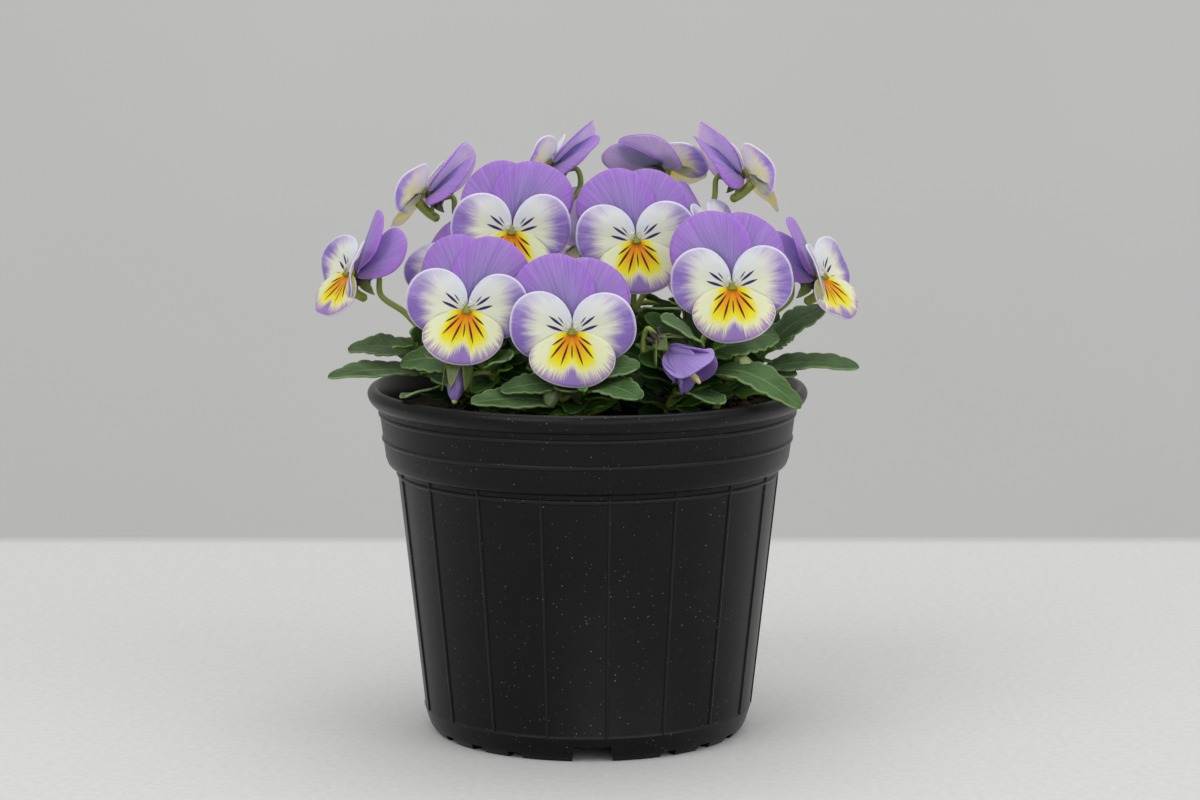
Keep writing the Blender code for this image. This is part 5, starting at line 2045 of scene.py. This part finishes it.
    def ribs(self) -> BMesh:
        """Makes the upright ribs, each a slim bar with rounded outer edges, sunk into the wall.

        Returns:
            All the ribs.
        """
        bm = bmesh.new()
        top, foot = (Vector((radius, 0, z)) for radius, z in self.body)
        slope = atan2(top.x - foot.x, top.z - foot.z)
        middle = (top + foot) / 2 + Vector(((self.rib_stand - self.rib_sunk) / 2, 0, 0))
        size = (self.rib_stand + self.rib_sunk, self.rib_width, (top - foot).length + self.rib_sunk)
        for index in range(self.rib_count):
            turn = Matrix.Rotation(self.rib_turn - pi / 2 + index * tau / self.rib_count, 4, "Z")
            verts = bmesh.ops.create_cube(bm, size=1.0)["verts"]
            edges = [
                edge
                for edge in {edge for vert in verts for edge in vert.link_edges}
                if all(vert.co.x > 0 and vert.co.y == edge.verts[0].co.y for vert in edge.verts)
            ]
            bmesh.ops.scale(bm, vec=size, verts=verts)
            bent = bmesh.ops.bevel(
                bm,
                geom=edges,
                offset=self.rib_width * self.rib_round,
                offset_type="OFFSET",
                segments=3,
                profile=0.5,
                affect="EDGES",
                material=-1,
            )
            bar = {vert for item in bent["faces"] for vert in item.verts}
            bar |= {vert for vert in verts if vert.is_valid}
            place = turn @ Matrix.Translation(middle) @ Matrix.Rotation(slope, 4, "Y")
            bmesh.ops.transform(bm, matrix=place, verts=list(bar))
        bmesh.ops.recalc_face_normals(bm, faces=bm.faces)
        return bm

    def cuts(self) -> BMesh:
        """Makes the cutters for the foot's notches and the floor's outer drain holes.

        Returns:
            All the cutters.
        """
        bm = bmesh.new()
        for quarter in range(4):
            start = self.first_notch + 90 * quarter
            self.notch(bm, start, self.wide_notch)
            for turn in self.narrow_turns:
                self.notch(bm, start + turn, self.narrow_notch)
        under, top = self.floor
        for index in range(self.drain_count):
            place = reaching(self.drain_circle, index * tau / self.drain_count, 0.0)
            bmesh.ops.create_cone(
                bm,
                cap_ends=True,
                segments=40,
                radius1=self.drain_radius,
                radius2=self.drain_radius,
                depth=top - under + 2 * self.wall,
                matrix=Matrix.Translation(place + UP * (under + top) / 2),
            )
        return bm

    def notch(self, bm: BMesh, degrees: float, size: Pair) -> None:
        """Adds a cutter for one drain notch with sloping ends through the foot ring.

        Args:
            bm: the cutters.
            degrees: where it stands round the pot.
            size: the notch's width and height.
        """
        width, height = size
        verts = bmesh.ops.create_cube(bm, size=1.0)["verts"]
        bmesh.ops.scale(bm, vec=(self.notch_depth, width, 2 * height), verts=verts)
        upper = [vert for vert in verts if vert.co.z > 0]
        bmesh.ops.scale(bm, vec=(1.0, self.notch_top, 1.0), verts=upper)
        bmesh.ops.translate(bm, vec=(self.foot_rest[1], 0, 0), verts=verts)
        turn = Matrix.Rotation(radians(degrees) - pi / 2, 3, "Z")
        bmesh.ops.rotate(bm, matrix=turn, verts=verts)

    def build(self) -> None:
        """Builds the pot as one piece."""
        pot = shape_object("nursery_pot", self.shell())
        for operation, bm in (("UNION", self.ribs()), ("DIFFERENCE", self.cuts())):
            tool = shape_object("pot_tool", bm)
            modifier = pot.modifiers.new(operation.lower(), "BOOLEAN")
            modifier.operation, modifier.solver, modifier.object = operation, "MANIFOLD", tool
            graph = bpy.context.evaluated_depsgraph_get()
            shape = bpy.data.meshes.new_from_object(pot.evaluated_get(graph))
            pot.modifiers.clear()
            pot.data = shape
            bpy.data.objects.remove(tool)
        pot.data.materials.clear()
        pot.data.materials.append(POT.material())
        pot.data.shade_smooth()
        pot.data.set_sharp_from_angle(angle=self.sharp_from)
        present(pot, "black_polypropylene", ["pot"])


@dataclass
class Soil:
    """The potting soil: a lumpy body in the pot, with loose crumbs and bits of bark on it."""

    limits: Box
    edge: float = 0.0550
    bottom: tuple[Pair, ...] = ((0.0533, 0.0771), (0.0504, 0.0743), (0.0434, 0.0095), (0.0408, 0.0066))
    around: int = 132
    tops: int = 56
    # The lumps die down near the wall; each noise has its scale and strength, from 7 mm down to 1 mm
    lump: float = 0.0010
    calm: float = 0.004
    noises: tuple[Pair, ...] = ((150, 1.0), (420, 0.5), (1100, 0.28))
    seed: int = 11
    crumb_count: int = 340
    bark_count: int = 14
    inside: float = 0.0022
    crumb_sizes: Pair = (0.0004, 0.0011)
    bark_sizes: Pair = (0.0011, 0.0017)
    crumb_shape: Triple = (1.1, 0.9, 0.8)
    bark_shape: Triple = (1.5, 0.8, 0.5)
    jagged: Pair = (0.7, 1.15)
    tipped: Pair = (-0.5, 0.5)
    raised: float = 0.3
    # Radius and angle of the chips that show beside the foliage
    chips: tuple[Pair, ...] = ((0.0522, 172.0), (0.0505, 184.0), (0.0518, -4.0))

    def ground(self, x: float, y: float) -> float:
        """The soil's height at a place.

        Args:
            x: to the right in metres.
            y: to the back in metres.

        Returns:
            The height in metres.
        """
        place = Vector((x, y, 0.0))
        calm = min(1.0, max(0.0, (self.edge - place.length) / self.calm))
        rough = sum(strength * noise.noise(place * scale) for scale, strength in self.noises)
        return SOIL_LEVEL + self.lump * rough * calm

    def build(self) -> None:
        """Builds the soil's body and what lies on it."""
        body = Workpiece("potting_soil_body", "potting_soil", ["potting_soil"])
        lower = [*self.bottom, (0.0, self.bottom[-1][1])]
        rows = self.tops + len(lower)

        def surface(across: float, share: float) -> Vector:
            """From the middle of the top out to the wall, then down it and under."""
            row, angle = round(share * rows), across * pi
            top = row <= self.tops
            radius = self.edge * row / self.tops if top else lower[row - self.tops - 1][0]
            x, y = radius * cos(angle), radius * sin(angle)
            return Vector((x, y, self.ground(x, y) if top else lower[row - self.tops - 1][1]))

        faces = body.skin((self.around, rows), surface, SOIL)
        bmesh.ops.recalc_face_normals(body.bm, faces=faces)
        body.done(self.limits)
        loose = Workpiece("loose_soil_crumbs", "potting_soil")
        draw = random.Random(self.seed)
        for index in range(self.crumb_count + self.bark_count):
            radius = (self.edge - self.inside) * sqrt(draw.uniform(0.05, 1.0))
            self.crumb(loose, draw, index >= self.crumb_count, (radius, draw.uniform(0, tau)))
        for radius, degrees in self.chips:
            self.crumb(loose, draw, True, (radius, radians(degrees)))
        loose.done(self.limits)

    def crumb(self, work: Workpiece, draw: random.Random, bark: bool, spot: Pair) -> None:
        """Drops one crumb of peat or one chip of bark on the soil.

        Args:
            work: the loose pieces' workpiece.
            draw: the soil's draws.
            bark: whether it is a chip of bark.
            spot: its radius and angle.
        """
        radius, angle = spot
        x, y = radius * cos(angle), radius * sin(angle)
        size = draw.uniform(*(self.bark_sizes if bark else self.crumb_sizes))
        verts = bmesh.ops.create_icosphere(work.bm, subdivisions=1, radius=size)["verts"]
        for vert in verts:
            vert.co *= draw.uniform(*self.jagged)
        shape = self.bark_shape if bark else self.crumb_shape
        turn = Matrix.Rotation(draw.uniform(0, tau), 4, "Z")
        turn @= Matrix.Rotation(draw.uniform(*self.tipped), 4, "X")
        place = Matrix.Translation((x, y, self.ground(x, y) + size * self.raised)) @ turn
        bmesh.ops.transform(work.bm, matrix=place @ Matrix.Diagonal((*shape, 1.0)), verts=verts)
        faces = {face for vert in verts for face in vert.link_faces}
        work.dress(faces, BARK if bark else SOIL, draw.random())


@dataclass
class Studio:
    """The pale table, the grey wall behind it, soft lights and the camera."""

    table_edge: float = 0.279
    table_side: float = 3.0
    wall_place: Triple = (0.0, 1.6, 0.4)
    wall_side: float = 6.0
    # Name, place, width and watts of the soft lights
    lamps: tuple[tuple[str, Triple, float, float], ...] = (
        ("key", (-0.75, -0.95, 1.25), 1.2, 8.0),
        ("fill", (0.95, -0.85, 0.75), 1.2, 5.0),
        ("top", (0.1, 0.35, 1.35), 1.2, 5.5),
        ("low", (0.15, -1.3, 0.45), 0.8, 2.0),
    )
    aim: float = 0.08
    sky: str = "#d2d3d6"
    sky_strength: float = 0.85
    camera_place: Triple = (0.0034, -0.9107, 0.2238)
    camera_down: float = radians(8.32)
    sensor: float = 36.0
    lens: float = 101.04

    def build(self) -> None:
        """Builds the stage, the lights, the world and the camera."""
        flat = Matrix.Translation((0, self.table_edge - self.table_side / 2, 0))
        upright = Matrix.Translation(self.wall_place) @ Matrix.Rotation(pi / 2, 4, "X")
        table = self.plane("table_top", TABLE, flat, self.table_side)
        wall = self.plane("studio_wall", WALL, upright, self.wall_side)
        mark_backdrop(table, wall)
        for lamp in self.lamps:
            self.light(*lamp)
        self.world()
        self.camera()

    def plane(self, name: str, finish: Finish, place: Matrix, side: float) -> bpy.types.Object:
        """Makes one flat stage piece.

        Args:
            name: its name.
            finish: its finish.
            place: where its middle is and how it is turned.
            side: its side in metres.

        Returns:
            The object.
        """
        bm = bmesh.new()
        bmesh.ops.create_grid(bm, x_segments=2, y_segments=2, size=side / 2, matrix=place)
        made = shape_object(name, bm)
        made.data.materials.append(finish.material())
        return made

    def light(self, name: str, place: Triple, size: float, power: float) -> None:
        """Makes one large soft light that faces the plant.

        Args:
            name: its name.
            place: where it stands.
            size: its width in metres.
            power: its power in watts.
        """
        lamp = bpy.data.lights.new(name, "AREA")
        lamp.shape, lamp.size, lamp.energy = "DISK", size, power
        made = bpy.data.objects.new(name, lamp)
        made.location = place
        made.rotation_euler = (UP * self.aim - Vector(place)).to_track_quat("-Z", "Y").to_euler()
        bpy.context.scene.collection.objects.link(made)

    def world(self) -> None:
        """Lights everything with an even pale grey."""
        scene = bpy.context.scene
        scene.world = scene.world or bpy.data.worlds.new("studio")
        scene.world.use_nodes = True
        sky = scene.world.node_tree.nodes["Background"]
        sky.inputs["Color"].default_value = linear(self.sky)
        sky.inputs["Strength"].default_value = self.sky_strength
        scene.view_settings.view_transform = "Standard"

    def camera(self) -> None:
        """Sets the camera at the photograph's angle."""
        lens = bpy.data.cameras.new("camera")
        lens.sensor_fit, lens.sensor_width, lens.lens = "HORIZONTAL", self.sensor, self.lens
        made = bpy.data.objects.new("camera", lens)
        made.location = self.camera_place
        made.rotation_euler = (pi / 2 - self.camera_down, 0, 0)
        bpy.context.scene.collection.objects.link(made)
        bpy.context.scene.camera = made


# The seeds of the open blooms, of the violet buds and of part.py's leaves
BLOOM_SEED = 100
BUD_SEED = 300
LEAF_SEED = 7


def corners() -> Box:
    """The lowest and highest corner of what the frame shows now."""
    low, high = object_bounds()
    return Vector(low), Vector(high)


def main() -> None:
    """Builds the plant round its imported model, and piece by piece."""
    logging.basicConfig(level=logging.INFO, format="%(name)s: %(message)s")
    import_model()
    limits = corners()
    room = Room()
    Studio().build()
    Pot().build()
    Soil(limits).build()
    for index, bloom in enumerate(BLOOMS):
        BloomMaker(bloom, BLOOM_SEED + index, limits).build()
    for index, bud in enumerate(BUDS):
        BudMaker(limits).build(bud, BUD_SEED + index)
    draws = random.Random(LEAF_SEED)
    for shoot in SHOOTS:
        ShootMaker(shoot, limits, room).build(draws)
    sizes = {"cad": [list(corner) for corner in limits], "visual": [list(corner) for corner in corners()]}


if __name__ == "__main__":
    main()
